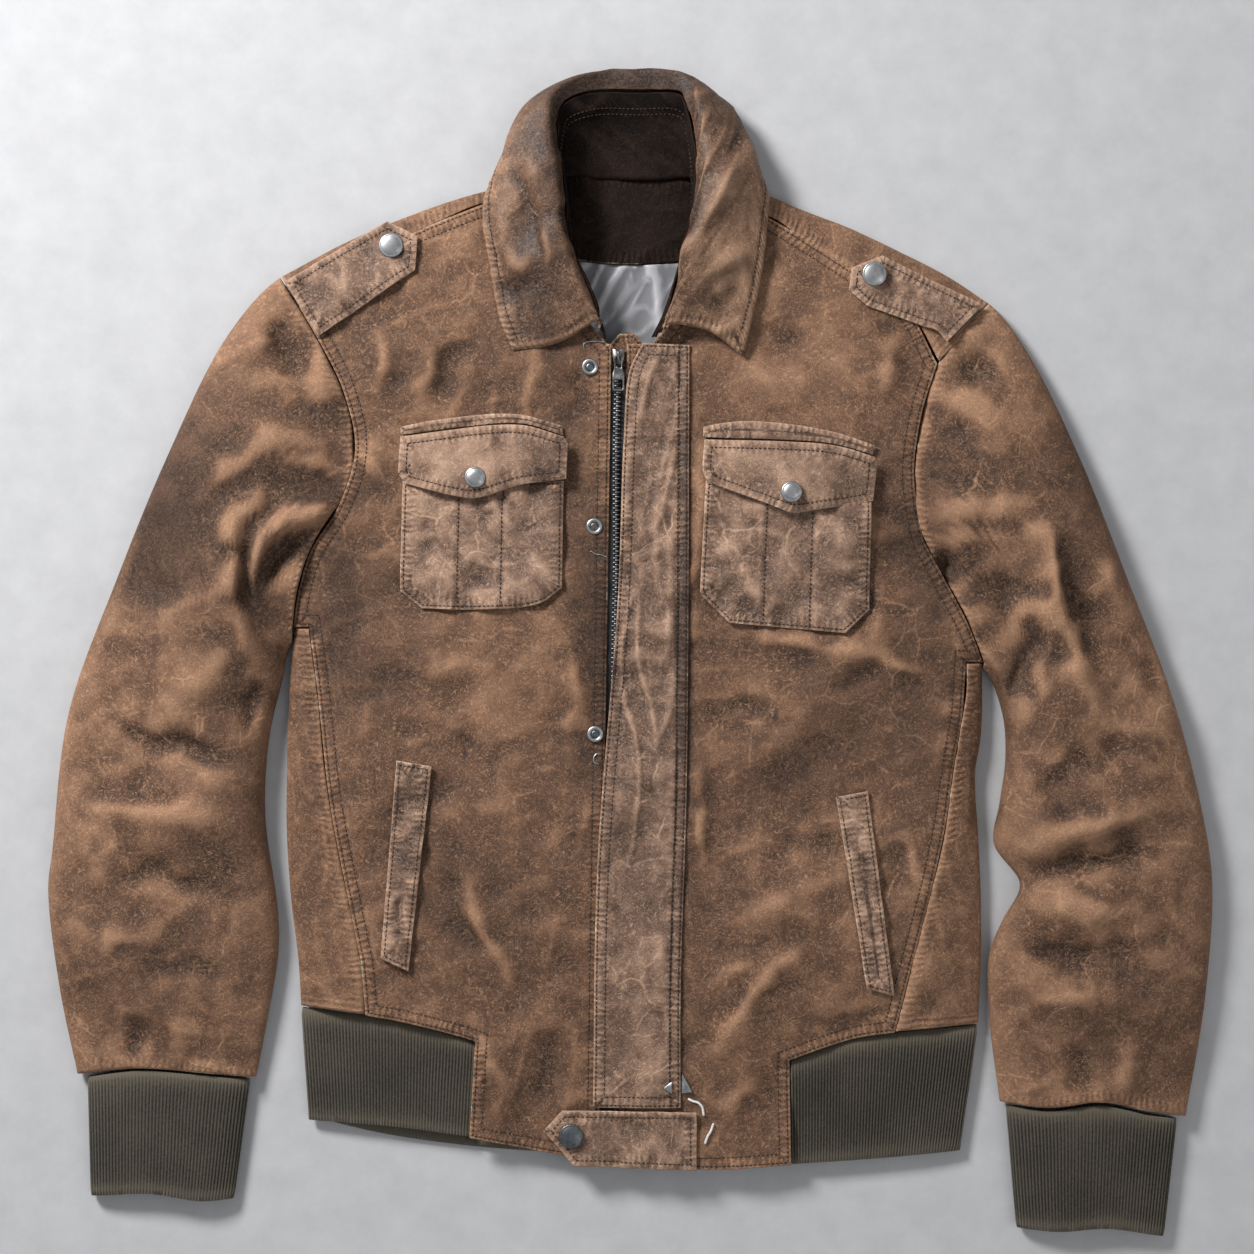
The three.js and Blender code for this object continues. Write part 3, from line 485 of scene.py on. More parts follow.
UNDYED = (0.5, 0.42, 0.33, 1)  # the leather's own colour, where its edges are worn through
LADDER = 4.3  # from one painted pucker to the next along a seam: rubbed pale on top, with painted shade between
SEAM_BAND = 10.5  # how far from a seam they reach


def leather(name, base, dark, rubbed, rubbing=1.0, gloss=0.0, crazing=0.7, shine=0.22):
    """Waxed leather with a fine curly nap: painted shade darkens its hollows, it is pale where its ridges and edges
    are rubbed, and it has thin pale lines where the wax has cracked along sharp creases."""
    made = Finish(name, Specular_IOR_Level=shine)
    patches = made.speckle(9, 4, 0.62, 0.5)
    mottle = made.speckle(46, 5, 0.62, 0.3)
    fibre = made.speckle(210, 6, 0.7, 2.6)
    curls = made.speckle(190, 1, 0.5, 2.2)
    crossing = made.speckle(120, 4, 0.62, 3.4)
    scuffs = made.speckle(1100, 2, 0.6)
    hairs = (1 - abs(curls - 0.5) * 15).kept() * (crossing * 6 - 2.7).kept()
    scratches = (1 - abs(crossing - 0.5) * 16).kept() ** 1.5
    cells = {"Vector": made.warped(22, 0.035), "Scale": 36.0}
    apart = made.node("ShaderNodeTexVoronoi", {"feature": "DISTANCE_TO_EDGE"}, cells)
    cracks = (1 - apart * 24).kept() ** 1.3 * (patches * 5 - 2.2).kept() * (mottle * 6 - 2.6).kept()
    fine, broad = made.stored("fine"), made.stored("broad")
    edge, run, wax_and_shade = made.stored("edge"), made.stored("run"), made.stored("wax_and_shade")
    by_seam = ((SEAM_BAND - edge) * 0.3).kept()
    uneven = (mottle * 3 - 0.9).kept()
    ladder = (run * (2 * math.pi / LADDER) + mottle * 14).sine() * by_seam * uneven
    rim = (1.4 - edge * 0.8).kept()
    proud = fine * 0.28 + broad * 0.46 + ladder * 0.42
    tone = (patches - 0.5) * 2.6 + (mottle - 0.5) * 1.9
    # painted shade: hollow darkens the leather in hollows and creases, where proud is low, and in the wax-and-shade
    # patches, mixed with random tone
    hollow = wax_and_shade * 0.88 - proud * 0.85 - tone * 0.5 + 0.24
    colour = made.blend(hollow.kept() * 0.9, base, dark)
    wear = (proud * 0.8 + tone * 0.5 + rim * 0.3 + 0.02 - wax_and_shade * 0.75) * rubbing
    wear = (wear.kept() * 0.75 + (scuffs - 0.5) * 0.45 + (fibre - 0.5) * 1.1).kept() * 0.8
    lines = hairs * 0.85 + scratches * (mottle * 1.4 - 0.3).kept() * 0.6 + cracks * crazing
    wear = wear + lines * (1 - wax_and_shade * 0.7).kept()
    colour = made.blend(wear.kept(), colour, rubbed)
    colour = made.blend(((fibre - 0.53) * 4.5).kept() * 0.6, colour, dark)
    worn_through = ((rim * 0.7 + fine * 0.15 + (mottle - 0.5) * 4.2 + (scuffs - 0.5) * 1.4 - 1.15) * 1.8).kept()
    colour = made.blend(worn_through * rim, colour, UNDYED)
    made.feed(Base_Color=colour, Roughness=(0.74 - gloss + (mottle - 0.5) * 0.4 + wear.kept() * 0.12).kept())
    made.raise_by(fibre * 0.5 + mottle * 0.8 + scuffs * 0.15 + ladder * 0.35 + crossing * 0.3 + cracks * 0.3, 0.9)
    return made.material


body_leather = leather("body_leather", (0.12, 0.062, 0.037, 1), (0.026, 0.0155, 0.0115, 1), (0.37, 0.21, 0.125, 1))
BACK = CLOTH - 0.25  # pressed thinner by the weight on it


def pressed(x, y):
    """The back's upper face, with the creases that weight has pressed into it. Its underside is flat."""
    creases = 0.7 * crumple(x, y, 46, 2, 2.2, 70) + 0.35 * crumple(x, y, 21, 5, 1.5, -30)
    return BACK + creases * 0.5 * noise(x / 80, y / 80, 4)


lay("back", outline_of("back"), pressed, BACK, body_leather, "leather", gap=9)


# ---------------------------------------------------------------- neck facing and lining
# A leather facing is sewn inside the back of the neck, and the satin lining of the body hangs from it. Only the
# stretch seen through the neck is here.


def satin(name):
    """Charcoal lining: a tight satin weave, with painted sheen that makes its colour lighter along the tops of its
    creases.
    """
    made = Finish(name, Specular_IOR_Level=0.5, Sheen_Weight=0.25)
    weave = made.speckle(1900, 1, 0.4)
    clouds = made.speckle(30, 3)
    fine, broad = made.stored("fine"), made.stored("broad")
    # painted sheen: the lining's colour is lighter where its creases stand proud, mixed with random clouds
    bright = ((broad + fine) * 0.45 + (clouds - 0.5) * 0.8 + 0.3).kept()
    made.feed(
        Base_Color=made.blend(bright, (0.15, 0.147, 0.156, 1), (0.4, 0.39, 0.415, 1)),
        Roughness=0.55 - bright * 0.25,
    )
    made.raise_by(weave, 0.12)
    return made.material


def facing_folds(x, y):
    return 3.7 + 3.2 * crumple(x, y, 34, 9, 2.0, 80) + 0.8 * crumple(x, y, 13, 4, 1.6, 30)


def lining_folds(x, y):
    return 3.2 + 2.4 * crumple(x, y, 26, 6, 2.4, 65) + 0.7 * crumple(x, y, 9, 8, 2.0, 50)


# A near-black copy of the leather for the neck facing and the collar's stand: painted shade for their place inside the
# collar and neck.
shaded_inner_leather = leather("shaded_inner_leather", (0.015, 0.0095, 0.0075, 1), (0.0035, 0.003, 0.003, 1),
                        (0.04, 0.024, 0.017, 1), rubbing=0.3, gloss=0.1, crazing=0.3, shine=0.04)
lay("back_facing", outline_of("back_facing"), facing_folds, 1.5, shaded_inner_leather, "leather", rows=(3,), sewn=False)
lay("lining", outline_of("lining"), lining_folds, 0.9, satin("lining_satin"), "lining", pucker=0.2)


# ---------------------------------------------------------------- fronts
# Two front panels of the same leather run from the shoulder to the leather part of the hem. They rise over the
# empty body, are flat at the hem, and carry the creases that wearing has set in them.

EDGE_TOP = 13.0  # height of the upper layer close to a folded side
CROWN_TOP = 22.0  # and at the chest
SIDE = {
    "right": [[-232, 18], [-235, -25], [-237, -87], [-237, -121], [-234, -169], [-229, -210], [-227, -243]],
    "left": [[242, -6], [241, -56], [237, -83], [239, -124], [241, -169], [241, -207], [239, -255]],
}
SHOULDER = {
    "right": [[-241, 259], [-196, 283], [-158, 299], [-131, 309], [-101, 318], [-52, 330]],
    "left": [[247.8, 239.8], [219, 259], [184, 277], [150, 293], [116, 306], [95, 315], [49, 330]],
}
FOLDED_EDGES = [Line(edge).every(12) for edge in (*SIDE.values(), *SHOULDER.values())]

def rolling(x, y, size, seed, stretch=1.0, turn=0.0):
    """Soft swells about size apart, from -1 to 1, drawn out along the direction turn."""
    c, s = math.cos(math.radians(turn)), math.sin(math.radians(turn))
    along, across = (x * c + y * s) / (size * stretch), (y * c - x * s) / size
    drift = noise(along / 1.7, across / 1.7, seed + 5)
    return 2 * noise(along + drift, across + 1.2 * drift, seed) - 1


def smooth(share):
    share = np.clip(share, 0, 1)
    return share * share * (3 - 2 * share)


# Creases worn into the body: a line, how high it stands (or how deep it lies, below zero), and how wide it is on its
# left and on its right.
BODY_CREASES = [
    ([[55, 18], [112, 8], [158, 1], [188, -12], [228, -20]], 3.6, 11, 5),
    ([[44, -56], [62, -44], [83, -37], [120, -50]], -3.4, 9, 9),
    ([[38, -289], [55, -272], [83, -237], [109, -209], [150, -190]], 4.2, 7, 10),
    ([[45, -245], [70, -215], [95, -200]], 2.2, 6, 8),
    ([[40, -190], [64, -183], [111, -164], [135, -157], [165, -150]], 3.0, 10, 10),
    ([[78, -140], [133, -131], [160, -128]], -3.0, 13, 11),
    ([[48, -60], [50, -95], [51, -130], [46, -170]], 2.6, 4, 6),
    ([[45, 195], [47, 120], [44, 40], [43, -20]], 2.0, 5, 7),
    ([[-118, -125], [-113, -143], [-104, -183], [-89, -216], [-84, -240]], 3.6, 8, 6),
    ([[-124, -135], [-117, -170], [-102, -212]], -3.0, 6, 7),
    ([[-106, -238], [-99, -266], [-89, -303], [-92, -330]], 3.0, 6, 6),
    ([[-62, -255], [-58, -285], [-66, -315]], -2.2, 7, 7),
    ([[-49, 34], [-42, -8], [-38, -49], [-40, -90]], 2.2, 6, 5),
    ([[-120, 220], [-123, 190], [-126, 160]], -3.4, 8, 9),
    ([[-138, 222], [-141, 190], [-148, 160]], 3.0, 7, 8),
    ([[-70, 225], [-66, 190], [-72, 165]], 2.2, 7, 8),
    ([[-40, 205], [-34, 175], [-27, 150]], -3.0, 7, 6),
    ([[-175, 175], [-171, 205], [-178, 232]], 2.6, 5, 6),
    ([[-166, 150], [-176, 132], [-188, 122]], 2.6, 6, 6),
    ([[-60, -20], [-110, -8], [-160, -16]], 2.2, 13, 12),
    ([[-55, -75], [-105, -62], [-150, -72]], -2.6, 15, 12),
    ([[-60, -120], [-100, -108], [-140, -118]], 2.2, 12, 13),
    ([[70, 205], [95, 190], [130, 186]], 2.4, 9, 9),
    ([[100, 235], [108, 205], [103, 172]], -2.6, 9, 9),
    ([[170, 175], [176, 200], [172, 228]], 2.6, 6, 6),
    ([[150, 95], [175, 84], [197, 84]], 2.6, 6, 7),
    ([[140, 40], [170, 30], [205, 34]], -2.6, 9, 9),
    ([[-178, 60], [-150, 36], [-120, 24]], -2.4, 9, 10),
    ([[176, -100], [196, -150], [192, -200]], 2.4, 6, 6),
    ([[60, -318], [78, -300], [100, -292]], 2.2, 6, 6),
    ([[-52, -322], [-30, -306], [-4, -300]], 2.0, 6, 6),
]


def creased(creases, x, y):
    """What a list of creases adds to the height at each point. Their lines waver, and they rise and sink."""
    total = np.zeros(np.shape(x))
    x, y = x + 9 * (noise(x / 19, y / 19, 12) - 0.5), y + 9 * (noise(x / 19, y / 19, 13) - 0.5)
    for points, height, left, right in creases:
        line = Line(points)
        chain = line.every(max(2.5, line.length / 36))
        reach = 4 * max(left, right)
        low, high = chain.min(0) - reach, chain.max(0) + reach
        near = (x > low[0]) & (x < high[0]) & (y > low[1]) & (y < high[1])
        if near.any():
            distance, along = nearest(chain, x[near], y[near], sided=True)
            ends = smooth(along / (0.42 * line.length)) * smooth((line.length - along) / (0.42 * line.length))
            uneven = 0.6 + 0.8 * noise(along / 17, distance / 30, int(abs(points[0][0])))
            width = np.where(distance > 0, left, right) * (1.15 + 0.5 * noise(along / 14, distance / 40, 7))
            total[near] += 1.3 * height * ends * uneven / (1 + (distance / width) ** 2) ** 1.7
    return total


def body_lies(x, y):
    """Height of the body's upper layer before the creases of any one piece."""
    x, y = np.asarray(x, float), np.asarray(y, float)
    inwards = np.min([nearest(edge, x, y)[0] for edge in FOLDED_EDGES], axis=0)
    fullness = 0.35 + 0.65 * smooth((y + 340) / 150)
    crown = (CROWN_TOP - EDGE_TOP) * fullness * (1 - np.exp(-inwards / 38))
    soft = smooth(inwards / 38)
    swells = 2.6 * rolling(x, y, 62, 21, 1.5, 60) + 1.5 * rolling(x, y, 27, 14, 1.6, 35)
    wrinkles = 1.2 * (crumple(x, y, 32, 31, 2.4, 75) - 0.3) * smooth(2.2 * noise(x / 45, y / 45, 8) - 0.7)
    wrinkles += 0.9 * (crumple(x, y, 21, 35, 2.2, 15) - 0.3) * smooth(2.2 * noise(x / 38, y / 38, 9) - 0.8)
    return EDGE_TOP + crown + (creased(BODY_CREASES, x, y) + swells) * soft + wrinkles


def front_surface(x, y):
    return body_lies(x, y) + 0.5 * rolling(x, y, 11, 41, 1.8, 20)


for side in ("right", "left"):
    lay(f"front_{side}", outline_of(f"front_{side}"), front_surface, CLOTH, body_leather, "leather",
        pucker=0.5, rows=(2.2, 8), reach=8, gap=2.7)


# ---------------------------------------------------------------- side panels and yoke
# A side panel joins each front to the back and folds round the body's side as it lies. The back yoke comes over
# each shoulder in the same way, down to the front's shoulder seam.

FOLD_MID = 6.0  # height of the outermost line of a fold
SIDE_UNDER = 22.0  # how far the side panels turn in underneath
SEAM_GAP = 0.25
FAR = 99.0  # from any seam
PANEL_LEATHER = 0.9 * CLOTH  # folded panels are skived thinner
SIDE_SEAM = {
    "right": [[-221, 18], [-215, -27], [-210, -76], [-204, -116], [-198, -148], [-189, -190], [-184, -217],
              [-182, -248]],
    "left": [[230, -6], [230, -25], [225, -56], [220, -87], [214, -128], [204, -169], [195, -203], [181, -260]],
}
SHOULDER_SEAM = {
    "right": [[-234, 247], [-193, 268], [-145, 290], [-101, 309], [-52, 318]],
    "left": [[211, 199.5], [198, 224], [184, 240], [148, 264], [116, 285], [100, 297], [49, 316]],
}


def shell(name, outer, thick, finish, cut, closed=False, seams=None, up=(0, 0, 1)):
    """A closed wall of cloth from a grid of points on its outer face, which faces along up in its first quarter.
    cut is its flat length and width and is not used; closed joins its last column to its first, and seams holds each
    point's distance from a seam and its place along it."""
    normals = outward(outer, up)
    rows, columns = outer.shape[:2]
    vertices = np.vstack([outer.reshape(-1, 3), (outer - normals * thick).reshape(-1, 3)])
    count = rows * columns
    wrap = columns if closed else columns - 1
    i, j = np.meshgrid(np.arange(rows - 1), np.arange(wrap), indexing="ij")
    a = (i * columns + j).ravel()
    b = ((i + 1) * columns + j).ravel()
    c = ((i + 1) * columns + (j + 1) % columns).ravel()
    d = (i * columns + (j + 1) % columns).ravel()
    faces = [*zip(a, b, c, d), *zip(a + count, d + count, c + count, b + count)]
    for k in range(wrap):
        p, q = k, (k + 1) % columns
        faces.append((p, q, q + count, p + count))
        p, q = (rows - 1) * columns + q, (rows - 1) * columns + p
        faces.append((p, q, q + count, p + count))
    if not closed:
        for k in range(rows - 1):
            p, q = (k + 1) * columns, k * columns
            faces.append((p, q, q + count, p + count))
            p, q = k * columns + columns - 1, (k + 1) * columns + columns - 1
            faces.append((p, q, q + count, p + count))
    piece = make_piece(name, vertices, faces, finish)
    mesh = piece.data
    if mesh.polygons[0].normal.dot(Vector(normals[0, 0])) < 0:
        mesh.flip_normals()
    mark_ridges(piece)
    edge, run = seams or (np.full(count, FAR), np.zeros(count))
    mark_seams(piece, edge, run)
    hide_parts(name)
    cut[0] * MM
    cut[1] * MM
    cut[0] * cut[1] * MM * MM


def outward(grid, up=(0, 0, 1)):
    """Unit normals of a grid of points, on the side where the grid's first quarter faces along up."""
    du, dv = np.gradient(grid, axis=0), np.gradient(grid, axis=1)
    normal = np.cross(du, dv)
    normal /= np.maximum(np.linalg.norm(normal, axis=-1), 1e-9)[..., None]
    upper = normal[:, grid.shape[1] // 8 : grid.shape[1] // 4 + 1].mean((0, 1))
    return normal if np.dot(upper, up) > 0 else -normal


def grid_area(grid):
    """The area of a grid of points."""
    a, b = np.diff(grid, axis=0)[:, :-1], np.diff(grid, axis=1)[:-1]
    return float(np.linalg.norm(np.cross(a, b), axis=-1).sum())


def folded_panel(name, seam, edge, under):
    """A panel from a seam on the upper layer, round a folded side and in underneath."""
    seam, edge, under = (Line(line) for line in (seam, edge, under))
    shares = np.linspace(0.004, 0.996, int(edge.length / 2.2))
    rows, folds, unders = seam.at(shares), edge.at(shares), under.at(shares)
    turn = np.linspace(0, np.pi, 44)
    top = turn < np.pi / 2
    start = np.where(top[None, :, None], rows[:, None], unders[:, None])
    across = np.sin(turn)[None, :, None]
    gap = SEAM_GAP / np.linalg.norm(rows - folds, axis=1)[:, None, None]
    place = start + (folds[:, None] - start) * (gap + (1 - gap) * across)
    x, y = place[..., 0], place[..., 1]
    over = FOLD_MID + (front_surface(x, y) - FOLD_MID) * np.clip(np.cos(turn), 0, 1)[None] ** 0.7
    below = FOLD_MID * (1 + np.cos(turn))[None] + 0 * x
    z = np.where(top[None], over, below)
    from_seam = np.linalg.norm(place - rows[:, None], axis=-1)
    along = shares[:, None] * edge.length + 0 * x
    creases = crumple(x, along, 17, 5, 2.2, 80) - 0.35
    weight = np.where(top, 1.0, np.clip(np.sin(turn), 0, 1) ** 2)[None]
    seam_puckers = 0.5 * np.exp(-from_seam / 7) * puckers(along, from_seam, 3)
    z = z + np.where(top[None], seam_puckers, 0) + creases * weight * 0.7
    z -= np.where(top[None], 0.6 * np.exp(-((from_seam / 1.2) ** 2)), 0)
    grid = np.dstack([x, y, np.maximum(z, 0.0)])
    from_end = np.minimum(along, edge.length - along)
    seams = (np.where(top, np.minimum(from_seam, from_end), FAR), along)
    cut = (grid_area(grid) / edge.length, edge.length)
    shell(name, grid, PANEL_LEATHER, body_leather, cut, seams=seams)


for side, inwards in (("right", 1), ("left", -1)):
    under = np.array(SIDE[side], float) + [inwards * SIDE_UNDER, 0]
    folded_panel(f"side_panel_{side}", SIDE_SEAM[side], SIDE[side], under)
    folded_panel(f"yoke_{side}", SHOULDER_SEAM[side], SHOULDER[side], SHOULDER_SEAM[side])


# ---------------------------------------------------------------- sleeves
# Each sleeve is one piece folded round and set into the armhole. It lies flattened, fullest at the elbow, with
# deep folds at the armpit and elbow and small tucks where it is gathered into the cuff.

ARMHOLE = {
    "right": [[-241, 259], [-215, 216], [-195, 174], [-189, 136], [-195, 111], [-218, 74], [-228, 44], [-232, 18]],
    "left": [[246, 241], [217, 212], [200, 167], [194, 119], [198, 85], [215, 52], [230, 23], [242, -6]],
}
SLEEVE = {
    "right": {
        "head": [[-196, 276], [-184, 22]],
        "outer": [[-196, 276], [-241, 259], [-278, 218], [-320, 133], [-354, 50], [-387, -42], [-398, -135],
                  [-401, -162], [-393, -231], [-381, -289]],
        "inner": [[-184, 22], [-215, 24], [-234, 6], [-240, -18], [-249, -57], [-252, -111], [-243, -179],
                  [-243, -207], [-251, -255], [-258, -291]],
        "end": [[-381, -289], [-337, -284], [-306, -286], [-258, -291]],
        "creases": [
            ([[-190, 138], [-215, 143], [-238, 144], [-262, 131], [-283, 116], [-300, 96]], 5.0, 8, 12),
            ([[-192, 116], [-213, 126], [-236, 128], [-255, 122]], 3.0, 5, 7),
            ([[-192, 108], [-208, 96], [-227, 88], [-241, 84], [-250, 70], [-254, 56], [-252, 40], [-240, 24]],
             9, 5, 8),
            ([[-243, 130], [-252, 114], [-262, 95], [-268, 74], [-270, 54], [-267, 35], [-261, 16], [-250, -8],
              [-245, -28]], 9, 6, 13),
            ([[-216, 76], [-236, 68], [-246, 58], [-244, 42]], -9, 5, 5),
            ([[-256, 88], [-261, 66], [-259, 44], [-250, 20]], -4.5, 4, 4),
            ([[-362, -36], [-336, -55], [-308, -62], [-280, -68], [-255, -80]], -6, 8, 7),
            ([[-262, 18], [-283, -4], [-310, -33], [-338, -46]], 4.5, 11, 12),
            ([[-356, 70], [-361, 28], [-370, -11], [-387, -46]], 3.0, 8, 8),
            ([[-243, 246], [-233, 198], [-219, 160]], -5, 10, 10),
            ([[-222, 214], [-212, 190], [-206, 165]], 3, 7, 7),
            ([[-247, -16], [-258, -34], [-252, -50]], -6, 5, 5),
            ([[-385, -95], [-350, -108], [-305, -112], [-262, -104]], 4.5, 9, 9),
            ([[-370, -150], [-330, -148], [-290, -160], [-258, -158]], -4.0, 10, 9),
            ([[-392, -180], [-355, -196], [-310, -190]], 3.4, 9, 9),
            ([[-345, -225], [-310, -214], [-262, -222]], -3.0, 9, 9),
            ([[-318, 110], [-332, 60], [-352, 10]], -3.4, 13, 13),
            ([[-290, 60], [-302, 20], [-322, -14]], 3.0, 12, 13),
            ([[-300, -245], [-306, -265], [-303, -285]], 3, 6, 6),
            ([[-345, -240], [-340, -262], [-346, -283]], -3, 6, 6),
        ],
    },
    "left": {
        "head": [[200, 262], [188, 10]],
        "outer": [[200, 262], [246, 241], [274, 205], [308, 136], [342, 50], [373, -32], [394, -114], [400, -159],
                  [395, -238], [382, -318]],
        "inner": [[188, 10], [224, 3], [244, -12], [256, -42], [258, -73], [254, -103], [250, -131], [268, -159],
                  [256, -184], [247, -207], [247, -251], [254, -308]],
        "end": [[382, -318], [356, -314], [322, -307], [287, -311], [254, -308]],
        "creases": [
            ([[196, 98], [229, 97], [252, 99], [266, 104], [277, 110]], 5.5, 10, 6),
            ([[266, 112], [276, 104], [282, 77], [291, 42], [301, 5], [315, -30], [326, -56]], 9, 6, 12),
            ([[290, 96], [300, 60], [308, 20], [322, -20]], -5, 10, 7),
            ([[278, 34], [273, 5], [266, -20], [260, -46]], -8, 6, 5),
            ([[284, 30], [281, 2], [274, -26], [268, -52]], 4, 5, 6),
            ([[200, 168], [229, 170], [243, 153], [250, 130]], 4.5, 9, 9),
            ([[228, 70], [217, 56], [220, 44]], -9, 5, 5),
            ([[204, 87], [240, 78], [264, 75]], 3.0, 5, 6),
            ([[216, 52], [232, 18], [244, -8], [254, -34]], 4.5, 7, 6),
            ([[236, 60], [254, 40], [262, 12]], -4, 7, 7),
            ([[222, 205], [240, 190], [258, 196]], -4, 8, 8),
            ([[340, 40], [352, 0], [366, -46]], -3.4, 11, 11),
            ([[320, 90], [332, 50], [344, 10]], 3.2, 11, 11),
            ([[249, -131], [275, -131], [308, -121], [345, -106], [380, -94]], 7, 9, 7),
            ([[262, -150], [290, -146], [330, -140], [372, -128]], -6, 7, 7),
            ([[256, -92], [290, -82], [330, -66], [368, -62]], -4.0, 10, 10),
            ([[264, -166], [290, -172], [320, -176], [360, -168]], 4.5, 8, 9),
            ([[250, -205], [300, -206], [350, -198], [392, -190]], -4.0, 9, 10),
            ([[256, -232], [300, -238], [350, -228]], 3.2, 9, 9),
            ([[300, -262], [306, -285], [302, -305]], -3, 6, 6),
            ([[340, -262], [336, -285], [342, -308]], 3, 6, 6),
        ],
    },
}
SLEEVE_HEIGHTS = [20, 28, 33, 34, 31, 26, 20]  # from head to cuff
SLEEVE_CUT = 590  # flat length
SLEEVE_SPAN = 600.0  # from head to cuff as it lies


def height_along(heights, share):
    """Evenly spaced heights, smoothly joined."""
    at = np.clip(share, 0, 1) * (len(heights) - 1)
    i = np.minimum(len(heights) - 2, np.floor(at).astype(int))
    h = np.array(heights, float)
    return h[i] + (h[i + 1] - h[i]) * smooth(at - i)


class Tube:
    """A flattened tube between its two folds and the lines across its two ends."""

    def __init__(self, outer, inner, start, end, heights):
        self.outer, self.inner, self.start, self.end = (Line(line) for line in (outer, inner, start, end))
        self.heights = heights

    def flat(self, down, across):
        """Where a point lies seen from above: down from 0 to 1 along the tube, across from fold to fold."""
        o, i, s, e = self.outer.at(down), self.inner.at(down), self.start.at(across), self.end.at(across)
        down, across = down[..., None], across[..., None]
        corners = (self.outer.points[0] * (1 - across) + self.inner.points[0] * across) * (1 - down) + (
            self.outer.points[-1] * (1 - across) + self.inner.points[-1] * across) * down
        return o * (1 - across) + i * across + s * (1 - down) + e * down - corners

    def grid(self, first, rows, columns, relief):
        """Points on the tube's outer face. first(across) is how far down the tube begins."""
        turn = 2 * np.pi * np.arange(columns) / columns
        across = (1 - np.cos(turn)) / 2
        t = np.linspace(0, 1, rows)[:, None]
        begin = first(across)[None]
        down = begin + (1 - begin) * t + 0 * across[None]
        place = self.flat(down, across[None] + 0 * down)
        x, y = place[..., 0], place[..., 1]
        bulge = np.abs(np.sin(turn))[None]
        crown = height_along(self.heights, down) - FOLD_MID
        over = FOLD_MID + crown * bulge**0.7 + relief(x, y, t) * smooth(1.3 * bulge)
        under = FOLD_MID * (1 - np.minimum(1, 1.15 * bulge**0.5))
        top = (turn <= np.pi)[None]
        z = np.where(top, over, np.maximum(under, 0.0))
        return np.dstack([x, y, z])


def body_region(side):
    """The part of the jacket, seen from above, that a sleeve is trimmed back from."""
    top = ARMHOLE[side][0][0]
    return np.vstack([[[0, 350], [top, 350]], Line(ARMHOLE[side]).every(6), SIDE[side][1:3], [[0, -87]]])


def trimmed_by(tube, region):
    """How far down a tube comes out of a region, at each place across it."""
    def first(across):
        low, high = np.zeros_like(across), np.full_like(across, 0.6)
        for _ in range(22):
            middle = (low + high) / 2
            place = tube.flat(middle, across)
            within = inside(region, place[..., 0], place[..., 1])
            low, high = np.where(within, middle, low), np.where(within, high, middle)
        return high + 0.001
    return first


def gathers(spread, distance, seed):
    """Uneven tucks that fade with distance from the seam they are gathered into."""
    tucks = np.maximum(0, 2 * noise(spread / 8.5 + 0.6 * noise(spread / 30, 0 * spread, 6), distance / 40, seed) - 0.7)
    return 1.4 * tucks * np.exp(-distance / 14)


for side, seed in (("right", 5), ("left", 17)):
    shape = SLEEVE[side]
    tube = Tube(shape["outer"], shape["inner"], shape["head"], shape["end"], SLEEVE_HEIGHTS)

    def relief(x, y, t, shape=shape, seed=seed):
        folds = creased(shape["creases"], x, y)
        soft = 2.4 * rolling(x, y, 55, seed, 1.6, -35) + 1.2 * rolling(x, y, 25, seed + 2, 1.8, -20)
        small = 1.2 * (crumple(x, y, 30, seed + 4, 2.2, 15) - 0.3) + 0.45 * rolling(x, y, 11, seed + 6)
        from_head, from_end = t * SLEEVE_SPAN, (1 - t) * SLEEVE_SPAN
        head = 0.6 * np.exp(-from_head / 8) * puckers(y, from_head, seed) - 1.2 * np.exp(-((from_head / 2.2) ** 2))
        return folds + soft + small + gathers(x, from_end, seed) + head - 1.5 * np.exp(-((from_end / 5) ** 2))

    grid = tube.grid(trimmed_by(tube, body_region(side)), 206, 132, relief)
    far = np.linspace(0, SLEEVE_SPAN, len(grid))[:, None] + 0 * grid[..., 0]
    seams = (np.minimum(far, SLEEVE_SPAN - far), np.where(far < SLEEVE_SPAN / 2, grid[..., 1], grid[..., 0]))
    cut = (grid_area(grid) / SLEEVE_CUT, SLEEVE_CUT)
    shell(f"sleeve_{side}", grid, CLOTH, body_leather, cut, closed=True, seams=seams)


# ---------------------------------------------------------------- cuffs and hem rib
# The cuffs and the two-sided hem band are doubled rib knit, sewn to the gathered leather. The hem band runs from
# one front, round the back, to the other front.

RIB_KNIT = 2.6  # both layers
RIB_PITCH = 2.3
CUFF_ROWS = 20
CUFF_CUT = (236, 170)
CUFF_DEPTH, BAND_DEPTH = 82, 80  # as they lie
CUFF = {
    "right": ([[-374, -291], [-337, -286], [-306, -288], [-262, -293]],
              [[-372, -373], [-330, -371], [-296, -376], [-273, -375]]),
    "left": ([[376, -320], [356, -317], [322, -310], [287, -314], [258, -311]],
             [[367, -401], [328, -395], [294, -397], [265, -395]]),
}


